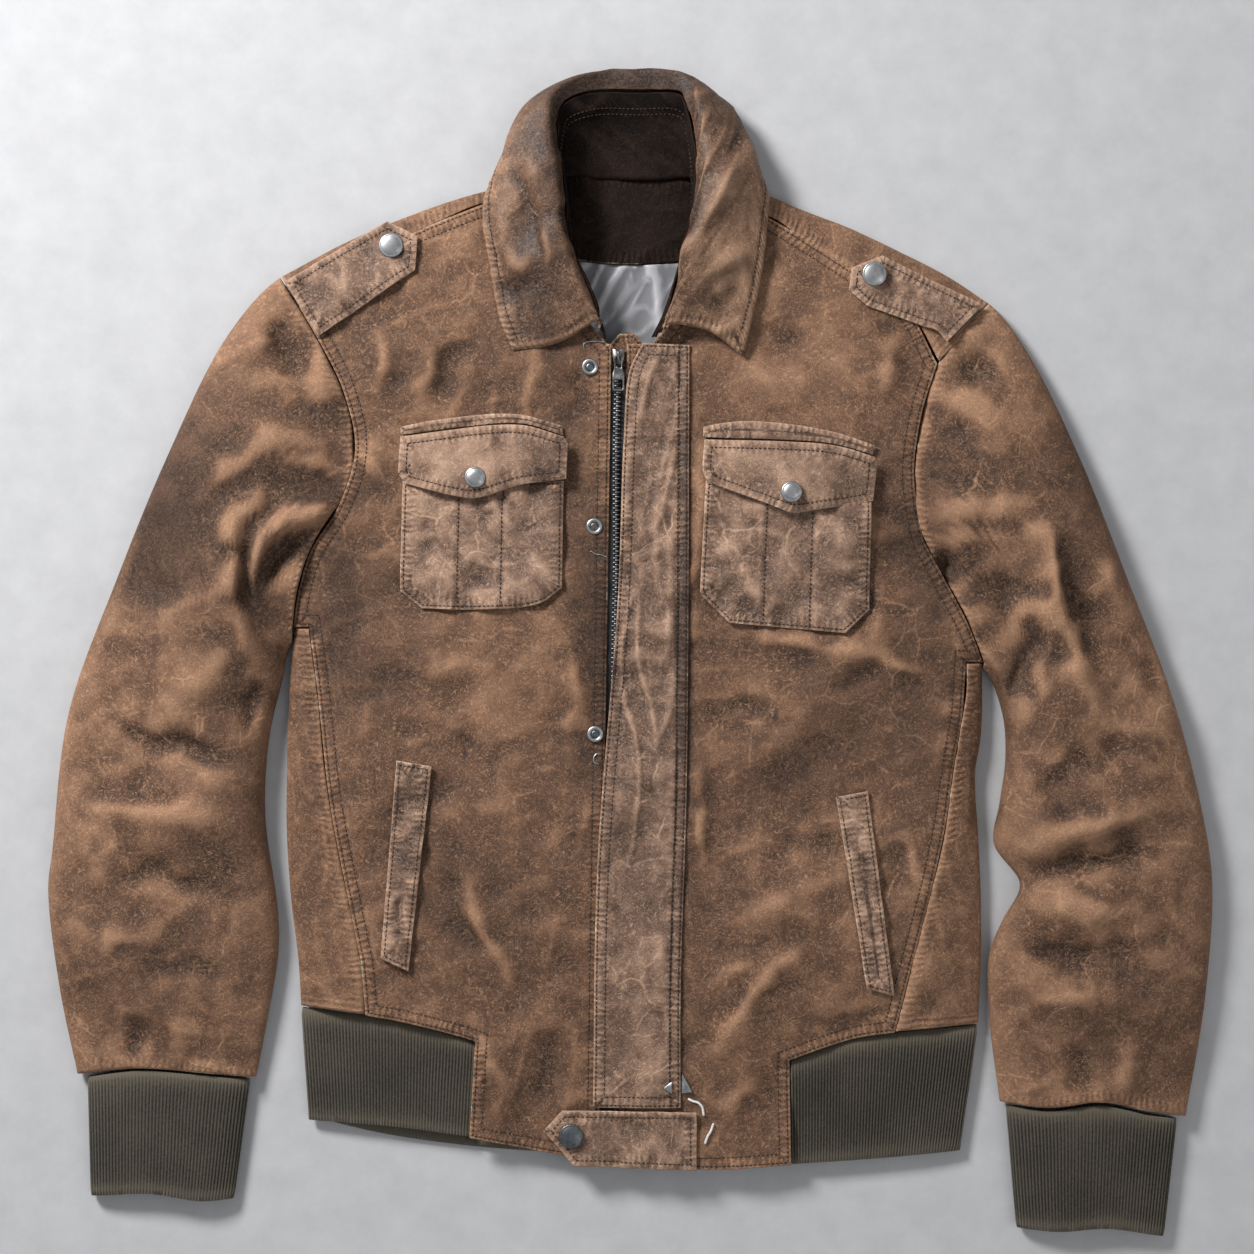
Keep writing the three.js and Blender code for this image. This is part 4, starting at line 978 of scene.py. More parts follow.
def knit(name):
    """Dark olive-brown rib knit: matt, a little fuzzy, with painted light that makes its colour paler on the tops of
    its ribs.
    """
    made = Finish(name, Specular_IOR_Level=0.2, Sheen_Weight=0.3, Sheen_Roughness=0.5)
    fuzz = made.speckle(1500, 3, 0.7)
    clouds = made.speckle(24, 3)
    loops = made.speckle(520, 2, 0.5)
    fine, broad = made.stored("fine"), made.stored("broad")
    # painted light: the knit's colour is paler where it stands proud, mixed with random fuzz, clouds and loops
    light = (fine * 0.35 + (fuzz - 0.5) * 1.1 + (clouds - 0.5) * 0.7 + broad * 0.2 + (loops - 0.5) * 0.6 + 0.36).kept()
    colour = made.blend(light, (0.008, 0.007, 0.005, 1), (0.09, 0.075, 0.053, 1))
    made.feed(Base_Color=colour, Roughness=0.9 - light * 0.1)
    made.raise_by(fuzz * 0.5 + loops * 0.5, 0.5)
    return made.material


rib_knit = knit("rib_knit")


def ribs(spread, wobble):
    """Height of the knit's ribs at a distance along the band."""
    return 0.42 * np.cos(2 * np.pi * (spread + wobble) / RIB_PITCH)


def knitted(name, grid, rise, cut, up=(0, 0, 1), closed=False):
    """A band of knit raised from a grid of points, except where it lies underneath and is pressed flat."""
    normals = outward(grid, up)
    grid = grid + normals * np.where(normals[..., 2:] < -0.5, np.minimum(rise[..., None], 0), rise[..., None])
    grid[..., 2] = np.maximum(grid[..., 2], 0)
    shell(name, grid, RIB_KNIT, rib_knit, cut, closed=closed, up=up)


for side in ("right", "left"):
    top, end = CUFF[side]
    tube = Tube([top[0], end[0]], [top[-1], end[-1]], top, end, [18, 15])
    columns = int(2 * 118 / RIB_PITCH) * 4
    grid = tube.grid(lambda across: 0 * across, CUFF_ROWS, columns, lambda x, y, t: 0 * x)
    spread = np.cumsum(np.linalg.norm(grid - np.roll(grid, 1, axis=1), axis=-1), axis=1)[CUFF_ROWS // 2][None]
    t = np.linspace(0, 1, CUFF_ROWS)[:, None]
    rise = ribs(spread, 0.5 * noise(spread / 30, t * 2, 5))
    rise = rise + 0.9 * (noise(spread / 34, t * 1.2, 15) - 0.5) - 0.7 * np.exp(-((t * CUFF_DEPTH / 3.0) ** 2))
    rise = rise * (0.25 + 0.75 * smooth(t * 30)) - 0.5 * np.exp(-(((1 - t) * CUFF_DEPTH / 1.5) ** 2)) - 0.45
    knitted(f"cuff_{side}", grid, rise, CUFF_CUT, closed=True)


RIB_TOP = {
    "right": [[-107.6, -266.6], [-145, -255.6], [-182, -248.6], [-227, -243.6]],
    "left": [[109.6, -279.6], [150, -265.6], [181, -260.6], [239, -255.6]],
}
RIB_END = {
    "right": [[-111.6, -332], [-165, -325], [-222, -321]],
    "left": [[110.6, -351], [171, -347], [227, -342]],
}


TOP_BACK, FOOT_BACK = -262, -345  # y of the band's top and foot at the middle of the back
TOP_HEIGHT, FOOT_HEIGHT = 14, 11  # at the front's edges
BACK_SLANT = 14  # how much higher the foot lies towards the wearer's right
FRONT_PART = 0.6  # share of each half of the band that lies on the front


def rib_loop(ends, height, back_y, shares, slant=0):
    """A line round the hem, from the right front's edge, round the back, to the left front's."""
    lines = {side: Line(line) for side, line in ends.items()}
    out = []
    for share in shares:
        side = "right" if share < 0.5 else "left"
        part = 2 * min(share, 1 - share)
        line = lines[side]
        fold_x, fold_y = line.points[-1]
        if part <= FRONT_PART:
            turn = part / FRONT_PART * math.pi / 2
            x, y = line.at(math.sin(turn))
            z = FOLD_MID + (height - FOLD_MID) * max(0.0, math.cos(turn)) ** 0.6
        else:
            back = (part - FRONT_PART) / (1 - FRONT_PART)
            x, y = fold_x * (1 - back * back), fold_y + (back_y - fold_y) * float(smooth(back))
            y += slant * float(smooth(2 * (0.5 - share)))
            z = FOLD_MID * (1 - math.sin(back * math.pi / 2) ** 0.4)
        out.append((x, y, z))
    return np.array(out)


def even_shares(line_at, count):
    """Shares of the way along a line that give points an even distance apart, and its length."""
    rough = np.linspace(0, 1, 1500)
    run = np.r_[0, np.cumsum(np.linalg.norm(np.diff(line_at(rough), axis=0), axis=1))]
    return np.interp(np.linspace(0, run[-1], count), run, rough), run[-1]


BAND_STEPS, BAND_ROWS = 1250, 17
BAND_WIDTH = 160  # doubled
shares, rib_length = even_shares(lambda s: rib_loop(RIB_TOP, TOP_HEIGHT, TOP_BACK, s), BAND_STEPS)
upper = rib_loop(RIB_TOP, TOP_HEIGHT, TOP_BACK, shares)
lower = rib_loop(RIB_END, FOOT_HEIGHT, FOOT_BACK, shares, BACK_SLANT)
t = np.linspace(0, 1, BAND_ROWS)[:, None, None]
grid = upper[None] * (1 - t) + lower[None] * t
spread = np.linspace(0, rib_length, BAND_STEPS)[None]
t = t[..., 0]
rise = ribs(spread, 0.5 * noise(spread / 30, t * 2, 9)) + 0.9 * (noise(spread / 40, t * 1.3, 19) - 0.5)
rise = rise * (0.25 + 0.75 * smooth(t * 22)) - 0.6 * np.exp(-((t * BAND_DEPTH / 3.0) ** 2)) - 0.45
knitted("hem_rib", grid, rise, (rib_length, BAND_WIDTH), up=(0, 0, -1))


# ---------------------------------------------------------------- collar
# A shirt collar of glossy, well-rubbed leather: the leaf falls over from its fold to a turned and topstitched
# edge, and the stand inside it goes down to the neck seam.

# Sections across the collar, from its right point round the back to its left point. Each has the leaf's edge, two
# points up the leaf, the top of the stand and the neck seam.
COLLAR = [
    [[-81, 207, 25.5], [-51, 211, 29], [-21, 226, 33], [-18, 221, 29], [-17, 215, 25]],
    [[-92, 234, 25.5], [-64, 242, 33], [-34, 248, 40], [-27, 246, 33], [-24, 238, 24]],
    [[-99, 277, 25], [-75, 285, 36], [-48, 284, 44], [-41, 282, 34], [-38, 273, 21]],
    [[-103, 303, 24], [-81, 314, 35], [-51, 318, 44], [-44, 316, 33], [-44, 306, 18]],
    [[-94, 330, 20], [-83, 349, 31], [-56, 354, 41], [-49, 351, 30], [-47, 322, 12]],
    [[-71, 352, 7], [-74, 377, 18], [-55, 382, 32], [-47, 373, 24], [-43, 329, 7.5]],
    [[-35, 362, 3.6], [-33, 394, 10], [-27, 398, 18], [-25, 382, 15], [-21, 327, 6.5]],
    [[6, 363, 3.6], [6, 399, 9], [6, 401, 17], [6, 381, 15], [6, 326, 6.5]],
    [[47, 360, 3.6], [51, 389, 11], [42, 395, 20], [36, 381, 17], [34, 327, 6.5]],
    [[82, 342, 9], [74, 369, 20], [47, 374, 35], [39, 365, 26], [41, 327, 8]],
    [[95, 316, 22], [82, 332, 32], [51, 340, 43], [43, 335, 31], [43, 314, 15]],
    [[93, 287, 25], [74, 301, 36], [49, 306, 45], [41, 304, 34], [41, 293, 19]],
    [[89, 252, 25.5], [66, 264, 36], [40, 266, 42], [33, 263, 34], [31, 253, 22]],
    [[77, 203, 27], [51, 220, 31], [23, 223, 34], [19, 219, 29], [14, 216, 25]],
]
LEAF_SHARE = 0.68  # of each section
COLLAR_ROWS = 200
collar_leather = leather("collar_leather", (0.105, 0.055, 0.033, 1), (0.015, 0.0105, 0.01, 1),
                         (0.36, 0.215, 0.135, 1), gloss=0.3, crazing=0.6)


def collar_grid(first, last, columns):
    """Points of the collar between two shares of its way from the leaf's edge to the neck seam."""
    lines = []
    for knots in zip(*COLLAR):
        line = Line(knots).at_knots(np.linspace(0, len(COLLAR) - 1, COLLAR_ROWS))
        for _ in range(24):  # rounds off the corners between sections
            line[1:-1] = (line[:-2] + 2 * line[1:-1] + line[2:]) / 4
        lines.append(line)
    places = np.linspace(first, last, columns) * (len(lines) - 1)
    return np.array([Line(section).at_knots(places) for section in zip(*lines)])


COLLAR_CREASES = [
    ([[84, 356], [76, 340], [60, 306], [41, 266], [30, 240]], 4.5, 7, 4),
    ([[66, 318], [56, 290], [44, 268]], -1.5, 5, 5),
    ([[-82, 336], [-73, 305], [-67, 280], [-49, 255]], -3.2, 5, 5),
    ([[-97, 316], [-85, 288], [-70, 260], [-67, 234]], 3.0, 6, 6),
    ([[-66, 300], [-58, 270], [-50, 246]], 2.4, 5, 5),
    ([[-70, 355], [-66, 330], [-58, 300]], 2.2, 6, 6),
    ([[86, 280], [70, 268], [50, 262]], 2.6, 4, 6),
    ([[80, 250], [62, 240], [44, 244]], -2.4, 5, 5),
    ([[78, 232], [66, 222], [52, 224]], 2.2, 4, 4),
    ([[60, 384], [30, 378], [8, 396]], 2.4, 6, 6),
    ([[-44, 388], [-28, 372], [-16, 392]], 2.4, 5, 6),
    ([[-88, 262], [-78, 240], [-74, 215]], -2.0, 4, 4),
]


def collar_piece(name, first, last, columns, thick, finish, seed, turned, rows):
    """The leaf or the stand, wrinkled and stitched in rows, and with a turned edge if turned."""
    grid = collar_grid(first, last, columns)
    normals = outward(grid)
    down = np.cumsum(np.linalg.norm(np.diff(grid, axis=1, prepend=grid[:, :1]), axis=-1), axis=1)
    along = np.cumsum(np.linalg.norm(np.diff(grid, axis=0, prepend=grid[:1]), axis=-1), axis=0)
    rise = 1.3 * (crumple(along, down, 32, seed, 1.5, 70) - 0.35) + 0.9 * rolling(along, down, 17, seed + 4, 1.6, 75)
    rise += 0.35 * rolling(along, down, 7, seed + 9, 1.4, 40) + creased(COLLAR_CREASES, grid[..., 0], grid[..., 1])
    ripple = puckers(along, down, seed + 7, pitch=5.5)
    from_tip = np.minimum(along, along[-1:] - along)
    edge = np.minimum(down, from_tip)
    if turned:
        rise = rise + 0.55 * np.exp(-edge / 6) * ripple - 1.3 * np.exp(-edge / 0.8)
    for row in rows:
        from_row = (edge if turned else down) - row
        rise += 0.35 * np.exp(-abs(from_row) / 5) * ripple - 0.5 * np.exp(-((from_row / 1.1) ** 2))
    grid = grid + normals * (rise - 0.3)[..., None]
    length = float(along[-1].max())
    for row in rows:
        at = np.array([np.interp(row, distances, np.arange(columns)) for distances in down]).clip(0, columns - 1.01)
        k = at.astype(int)[:, None, None]
        part = at[:, None] - k[..., 0]
        chain = np.take_along_axis(grid, k, 1)[:, 0] * (1 - part) + np.take_along_axis(grid, k + 1, 1)[:, 0] * part
        place, ahead = along_chain(chain[4:-4] + [0, 0, 0.15], STITCH)
        sew(place - ahead * THREAD_REACH, place + ahead * THREAD_REACH)
    seams = (edge, np.where(down < from_tip, along, down)) if turned else (abs(down - 13) + 3, along)
    shell(name, grid, thick, finish, (length, grid_area(grid) / length), seams=seams)


collar_piece("collar_leaf", 0, LEAF_SHARE, 56, 2.0, collar_leather, 3, True, [6.5])
# The stand takes the near-black copy of the leather: painted shade under the leaf.
collar_piece("collar_stand", LEAF_SHARE + 0.03, 1, 22, 1.4, shaded_inner_leather, 8, False, [11, 15])


# ---------------------------------------------------------------- zip
# A metal-toothed zip on black woven tapes, closed up to the slider near the neck. The slider's pull hangs over the
# teeth on its pin, and a small leather guard is sewn behind the top of the zip.

zip_line = Line([[-8, 212], [-10, 146], [-10, 64], [-11, 9], [-11.5, -59], [-14, -142], [-16, -238], [-17, -348]])
TAPE_TOP, TAPE_FOOT = 195, -330


def zip_strip(left, right, top, foot):
    """The outline of a strip between two distances from the zip's line."""
    middle = np.array([p for p in zip_line.every(6) if foot < p[1] < top])
    ends = np.vstack([[middle[0][0], top], middle, [middle[-1][0], foot]])
    return np.vstack([ends + [left, 0], ends[::-1] + [right, 0]])


def woven(name, low, high):
    """Tape woven in a fine herringbone."""
    made = Finish(name, Specular_IOR_Level=0.3, Sheen_Weight=0.15)
    slub = made.speckle(900, 2)
    made.feed(Base_Color=made.blend(slub, low, high), Roughness=0.75 + slub * 0.1)
    made.raise_by(slub, 0.15)
    return made.material


def metal(name, dull, bright, rough, tarnish=0.5):
    """Plated metal, dulled by handling and tarnished in clouds."""
    made = Finish(name, Metallic=1.0)
    cloud = made.speckle(260, 4, 0.6)
    grit = made.speckle(2600, 2)
    share = ((cloud - 0.5) * 2.2 + tarnish).kept()
    made.feed(Base_Color=made.blend(share, bright, dull), Roughness=(rough + share * 0.2 + (grit - 0.5) * 0.2).kept())
    made.raise_by(grit * 0.4 + cloud * 0.6, 0.04)
    return made.material


tape = woven("zip_tape", (0.008, 0.008, 0.009, 1), (0.04, 0.039, 0.04, 1))
teeth_metal = metal("teeth_metal", (0.05, 0.05, 0.052, 1), (0.3, 0.3, 0.31, 1), 0.34)
slider_metal = metal("slider_metal", (0.045, 0.043, 0.04, 1), (0.4, 0.39, 0.38, 1), 0.26, 0.55)
snap_metal = metal("snap_metal", (0.2, 0.205, 0.21, 1), (0.55, 0.56, 0.57, 1), 0.3)
dark_snap_metal = metal("dark_snap_metal", (0.07, 0.075, 0.08, 1), (0.2, 0.21, 0.22, 1), 0.32)


def below_fronts(drop):
    """The height of a piece that lies under the fronts."""
    return lambda x, y: body_lies(x, y) - drop


for side, left, right in (("right", -12, -0.2), ("left", 0.2, 12)):
    lay(f"zip_tape_{side}", zip_strip(left, right, TAPE_TOP, TAPE_FOOT), below_fronts(2.5), 0.8, tape, "zip_tape",
        gap=3, pucker=0.1)
guard = np.array([[-14, 197], [8, 197], [8, 212], [3, 219], [-8, 219], [-14, 212]], float)
lay("zip_guard", guard, below_fronts(3.7), 1.3, body_leather, "leather", rows=(2.2,), gap=1.5, pucker=0.25)


def capped(rings, sides):
    """The faces of a closed part made of rings of points, one beyond another, each with that many sides."""
    walls = [[k * sides + i, k * sides + (i + 1) % sides, (k + 1) * sides + (i + 1) % sides, (k + 1) * sides + i]
             for k in range(rings - 1) for i in range(sides)]
    last = (rings - 1) * sides
    return [list(range(sides - 1, -1, -1)), *walls, list(range(last, last + sides))]


def joined(name, parts, finish, slot, *nodes, body="jacket"):
    """One piece from many small closed parts, each a list of points and a list of faces."""
    vertices, faces = [], []
    for points, sides in parts:
        start = len(vertices)
        vertices.extend(points)
        faces.extend([[start + i for i in side] for side in sides])
    piece = make_piece(name, vertices, faces, finish)
    if body != "jacket":
        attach(piece, body)
    if nodes:
        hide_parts(*nodes)


def bar(middle, along, up, sizes, bevel):
    """A block with bevelled edges: along and up are unit vectors, and sizes are its length, width and height."""
    middle, along, up = (np.array(given, float) for given in (middle, along, up))
    side = np.cross(up, along)
    rings = []
    half_l, half_w, half_h = (size / 2 for size in sizes)
    for height, shrink in ((-half_h, bevel), (-half_h + bevel, 0), (half_h - bevel, 0), (half_h, bevel)):
        w, l, b = half_w - shrink, half_l - shrink, bevel
        ring = [(-l, -w + b), (-l + b, -w), (l - b, -w), (l, -w + b), (l, w - b), (l - b, w), (-l + b, w), (-l, w - b)]
        rings += [middle + along * a + side * c + up * height for a, c in ring]
    return rings, capped(4, 8)


TOOTH = 1.55  # from a tooth to the next one, on the other tape
FIRST_TOOTH, LAST_TOOTH = 16.5, 44  # from the two ends of the zip's line
places = zip_line.at(np.arange(FIRST_TOOTH, zip_line.length - LAST_TOOTH, TOOTH) / zip_line.length)
teeth = [
    bar((x + (0.75 if k % 2 else -0.75), y, level - 1.05), (1, 0, 0), (0, 0, 1), (3.4, 1.25, 2), 0.3)
    for k, ((x, y), level) in enumerate(zip(places, body_lies(*places.T)))
]
joined("zip_teeth", teeth, teeth_metal, "zip_metal", "zip_chain")

SLIDER = np.array([-8.6, 203.0])
SLIDER_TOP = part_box("zip_slider")[1][2] / MM - 3.2  # below its arch
PIVOT = np.array([*SLIDER, SLIDER_TOP + 1.5])  # what the pull turns about


def plate(outline, low, high, bevel, holes=()):
    """A flat plate cut to an outline seen from above, with bevelled edges, and windows through it."""
    loops = [np.asarray(loop, float) for loop in (outline, *holes)]
    edges, start = [], 0
    for loop in loops:
        edges.append(list(range(start, start + len(loop))))
        start += len(loop)
    flat = np.vstack(loops)
    small = np.vstack([inset(loop, -bevel if k else bevel) for k, loop in enumerate(loops)])
    vertices = []
    for points, z in ((small, low), (flat, low + bevel), (flat, high - bevel), (small, high)):
        vertices += [[x, y, z] for x, y in points]
    count = len(flat)
    found = delaunay_2d_cdt([Vector(p) for p in flat], [], [edges[0], *[e[::-1] for e in edges[1:]]], 4, 1e-6)
    place = {k: originals[0] for k, originals in enumerate(found[3]) if originals}
    caps = []
    for face in found[2]:
        face = [place[i] for i in face]
        middle = flat[face].mean(0)
        if inside(loops[0], *middle) and not any(inside(hole, *middle) for hole in loops[1:]):
            caps.append(face)
    faces = [face[::-1] for face in caps] + [[i + 3 * count for i in face] for face in caps]
    for k, loop in enumerate(edges):
        for a, b in zip(loop, loop[1:] + loop[:1]):
            for level in range(3):
                side = [a + level * count, b + level * count, b + (level + 1) * count, a + (level + 1) * count]
                faces.append(side if k == 0 else side[::-1])
    return vertices, faces


def rounded(points, radius, steps=5):
    """A closed outline with its corners rounded."""
    points = np.asarray(points, float)
    out = []
    for before, here, after in zip(np.roll(points, 1, axis=0), points, np.roll(points, -1, axis=0)):
        a, b = before - here, after - here
        reach = min(radius, 0.45 * np.linalg.norm(a), 0.45 * np.linalg.norm(b))
        start, end = here + a / np.linalg.norm(a) * reach, here + b / np.linalg.norm(b) * reach
        for t in np.linspace(0, 1, steps):
            out.append((1 - t) ** 2 * start + 2 * t * (1 - t) * here + t * t * end)
    return np.array(out)


def rod(path, radius, sides=10):
    """A round wire along a path, with rounded ends."""
    path = np.asarray(path, float)
    tangents = np.gradient(path, axis=0)
    tangents /= np.linalg.norm(tangents, axis=1)[:, None]
    up = np.array([0, 0, 1.0]) if abs(tangents[0][2]) < 0.9 else np.array([1.0, 0, 0])
    turn = 2 * np.pi * np.arange(sides) / sides
    beyond, small = radius * 0.7, radius * 0.4
    rings = [(path[0] - tangents[0] * beyond, tangents[0], small), *zip(path, tangents, [radius] * len(path)),
             (path[-1] + tangents[-1] * beyond, tangents[-1], small)]
    vertices = []
    for place, tangent, r in rings:
        side = np.cross(tangent, up)
        side /= np.linalg.norm(side)
        over = np.cross(side, tangent)
        vertices += [place + r * (math.cos(a) * side + math.sin(a) * over) for a in turn]
    return vertices, capped(len(rings), sides)


body_outline = rounded(SLIDER + [[-4.1, 0], [-3, -5.3], [3, -5.3], [4.1, 0], [4.1, 5.9], [0, 4.4], [-4.1, 5.9]], 1.6)
arch = [[0, -3.7, 0], [0, -3.6, 1.4], [0, -2.8, 2.6], [0, 0, 2.75], [0, 2.8, 2.6], [0, 3.6, 1.4], [0, 3.7, 0]]
arch = Line(arch).every(0.5) + [*SLIDER, SLIDER_TOP - 0.2]
joined("slider", [
    plate(body_outline, SLIDER_TOP - 3.9, SLIDER_TOP - 2.9, 0.3),
    plate(body_outline, SLIDER_TOP - 1.3, SLIDER_TOP, 0.4),
    bar((*(SLIDER + [0, 4]), SLIDER_TOP - 2.1), (0, 1, 0), (0, 0, 1), (1.6, 1.4, 2.2), 0.2),
    rod(arch, 0.6),
], slider_metal, "zip_metal", "zip_slider")
pull_outline = rounded(SLIDER + [[-2.9, -9], [-4.1, -12], [-4.1, -23.9], [4.1, -23.9], [4.1, -12], [2.9, -9],
                                 [2.9, 0.5], [-2.9, 0.5]], 1.1)
window = rounded(SLIDER + [[-1.8, -0.8], [-1.8, -8], [1.8, -8], [1.8, -0.8]], 0.6)
grip = rounded(SLIDER + [[-2.9, -16], [-2.9, -22.4], [2.9, -22.4], [2.9, -16]], 0.8)
pin = rod([PIVOT + [dx, 0, 0] for dx in (-2.4, -1, 1, 2.4)], 0.6)
joined("pull", [plate(pull_outline, PIVOT[2] - 0.55, PIVOT[2] + 0.55, 0.25, (window, grip)), pin],
       slider_metal, "zip_metal", "zip_pull", body="zip_pull")


# ---------------------------------------------------------------- placket
# A doubled flap of leather sewn to the left front covers the zip. Its free edge is stitched twice. It is heavily
# creased beside the slider, and painted shade darkens the flange where it is sewn on.

ON_PANEL = 0.8  # the gap between a sewn-on piece and what it lies on
STRAP = 2.2
STRAP_LIFT = ON_PANEL + STRAP  # of a strap's upper face above the panel that it lies on
# The seam down the placket, beyond which its flange lies flat.
FLANGE = [[32.5, 211], [33, 160], [33, 92], [32, 23], [31, -32], [31, -94], [28.5, -155], [27, -224], [27, -311]]
strap_leather = leather("strap_leather", (0.15, 0.086, 0.058, 1), (0.03, 0.0185, 0.015, 1), (0.45, 0.29, 0.2, 1),
                        rubbing=1.1, gloss=0.14, crazing=1)


def facets(x, y, size, seed):
    """Crumpling: flat facets between straightish creases about size apart, from 0 to about 1."""
    total = np.zeros(np.shape(x))
    for k in range(4):
        c, s = math.cos(seed + 2.4 * k), math.sin(seed + 2.4 * k)
        wide = size * (1 + 0.28 * k)
        across = (x * c + y * s) / wide + 1.2 * noise(x / (2.3 * size), y / (2.3 * size), seed % 7 + k)
        total += np.abs(across % 1 - 0.5) * noise(x / (1.5 * size), y / (1.5 * size), seed % 11 + 12 + k)
    return total


def tucked(chain, x, y, tall, wide):
    """A stitched-down line across a piece: a narrow channel with small puckers on both sides of it."""
    distance, along = nearest(chain, x, y)
    ripple = puckers(along, distance, 33, pitch=5.2, reach=12)
    return tall * np.exp(-distance / wide) * ripple - 0.45 * np.exp(-((distance / 0.9) ** 2))


flange = Line(FLANGE).every(5)


def placket_surface(x, y):
    crushed = smooth((y + 90) / 60) * smooth((222 - y) / 25)
    long_folds = crumple(x, y, 16, 51, 4.0, 86) - 0.35
    crumpled = facets(x, y, 29, 5) + 0.4 * facets(x, y, 13, 3) - 0.55
    folds = (2.2 * long_folds + 4.5 * crumpled) * (0.6 + 0.4 * crushed)
    from_flange, _ = nearest(flange, x, y)
    beyond = x > np.interp(y, flange[::-1, 1], flange[::-1, 0])
    from_hem = smooth((y + 311) / 14)
    rest = np.where(beyond, -0.7, folds * smooth(from_flange / 7) * from_hem)
    return body_lies(x, y) + STRAP_LIFT + 0.5 + rest + tucked(flange, x, y, 0.5, 6)


lay("placket", outline_of("placket"), placket_surface, STRAP, strap_leather, "leather", pucker=0.45,
    rows=(1.7, 7.6), gap=1.8, reach=6)
sew_over(flange, placket_surface)


# ---------------------------------------------------------------- chest pockets
# Each chest pocket is a patch with a box pleat down its middle. A pointed flap with a snap hangs over it from a
# narrow welt.

# The right and the left edge of each pleat.
PLEATS = {
    "right": ([[-119, 118], [-121, 30]], [[-86, 118], [-87.5, 31]]),
    "left": ([[91.7, 118], [88, 18]], [[126.5, 112], [123, 15]]),
}


def strap(name, side, lift, size, tall, seed, turn, **stitching):
    """A strap, flap or welt of doubled leather sewn on a front."""
    lay(name + side, outline_of(name + side), over_front(lift, size, tall, seed, turn), STRAP, strap_leather,
        "leather", pucker=0.5, **stitching)


def over_front(lift, size, tall, seed, turn):
    """The height of a piece sewn on a front, with wrinkles of its own: size across, tall and turned so."""
    def top(x, y):
        folds = 1.9 * (facets(x, y, size * 1.7, seed + turn) - 0.2) + 0.3 * crumple(x, y, size * 1.5, seed, 1.6, turn)
        folds = folds + 0.3 * rolling(x, y, size / 1.6, seed + 3, 1.3, turn + 70)
        return body_lies(x, y) + lift + tall * (folds - 0.3)
    return top


for side, seed in (("right", 61), ("left", 71)):
    pleats = [Line(line).every(6) for line in PLEATS[side]]
    cloth_top = over_front(ON_PANEL + CLOTH, 15, 2.5, seed, 15)

    def pocket_surface(x, y, pleats=pleats, cloth_top=cloth_top):
        left, right = (np.interp(y, pleat[::-1, 1], pleat[::-1, 0]) for pleat in pleats)
        strip = smooth((x - left) / 1.2) * smooth((right - x) / 1.2)
        return cloth_top(x, y) - 1.1 * strip + sum(tucked(pleat, x, y, 0.35, 5) for pleat in pleats)

    lay(f"pocket_{side}", outline_of(f"pocket_{side}"), pocket_surface, CLOTH, strap_leather, "leather", pucker=0.45,
        rows=(2.3,), gap=1.9, fill=1.6, reach=6)
    for pleat, shift in zip(pleats, (1.8, -1.8)):
        sew_over(pleat[2:] + [shift, 0], lambda x, y: pocket_surface(x, y) + 1.6)
    strap("flap_", side, 2 * STRAP_LIFT + 2, 16, 2.4, seed + 5, 60, rows=(5.4,), gap=1.8, fill=1, reach=6)
    strap("flap_welt_", side, STRAP_LIFT + 0.4, 9, 1.3, seed + 9, 90, gap=1.7)


# ---------------------------------------------------------------- hand-pocket welts, shoulder straps and hem tab
# Straps and welts of doubled leather, topstitched round: a slanting welt at each hand pocket, a snapped-down
# strap on each shoulder, and the tab that snaps across the foot of the placket.

for side, seed in (("right", 81), ("left", 91)):
    strap("hand_welt_", side, STRAP_LIFT + 0.4, 9, 2.0, seed, 10, rows=(2.6,), gap=1.6)
    strap("epaulette_", side, STRAP_LIFT + 0.6, 12, 2.2, seed + 4, 50, rows=(4.6,), gap=1.8)
strap("hem_tab", "", STRAP_LIFT + 0.5, 13, 2.4, 99, 30, rows=(4.2,), gap=1.7)


# ---------------------------------------------------------------- snaps and metal bits
# Plain domed snap caps with a raised ring, three ring-shaped sockets on the right front, and two small metal clips
# clinched over the placket's flange. The cap on the hem tab has lost its plating, and three bits of bent wire are
# caught in the right front.


ROUND = 40  # sides of a turned part
PRESSED_IN = 0.3  # how far a snap is pressed into its leather
SOCKET_IN = 0.2


def turned_part(profile, x, y, z):
    """A part turned on a lathe, from its profile of radius and height."""
    turn = 2 * np.pi * np.arange(ROUND) / ROUND
    vertices = [(x + r * math.cos(a), y + r * math.sin(a), z + h) for r, h in profile for a in turn]
    return vertices, capped(len(profile), ROUND)


def level_of(name, x, y, radius):
    """Where a part of that radius rests, pressed in, on a laid piece."""
    turn = 2 * np.pi * np.arange(12) / 12
    return float(np.max(surfaces[name](x + radius * np.cos(turn), y + radius * np.sin(turn)))) - PRESSED_IN


def cap_profile(radius):
    """A domed cap with a raised ring inside its rolled edge."""
    edge = radius - 0.9
    return [(radius - 1, 0), (radius - 0.1, 0.3), (radius, 0.9), (radius - 0.35, 1.5), (edge, 1.75), (edge - 0.5, 1.6),
            (edge - 0.9, 1.75), (radius * 0.62, 2.2), (radius * 0.35, 2.5), (0.4, 2.6)]


SNAPS = [
    ("epaulette_snap_right", "epaulette_right", -164, 279, 8.4, snap_metal),
    ("epaulette_snap_left", "epaulette_left", 166, 259, 8.4, snap_metal),
    ("flap_snap_right", "flap_right", -106, 120, 7.2, snap_metal),
    ("flap_snap_left", "flap_left", 109, 110, 7.2, snap_metal),
    ("tab_snap", "hem_tab", -41, -330, 8.4, dark_snap_metal),
]
for name, under, x, y, radius, finish in SNAPS:
    level = level_of(under, x, y, radius) - PRESSED_IN
    joined(name, [turned_part(cap_profile(radius), x, y, level)], finish, "snap_metal", name)

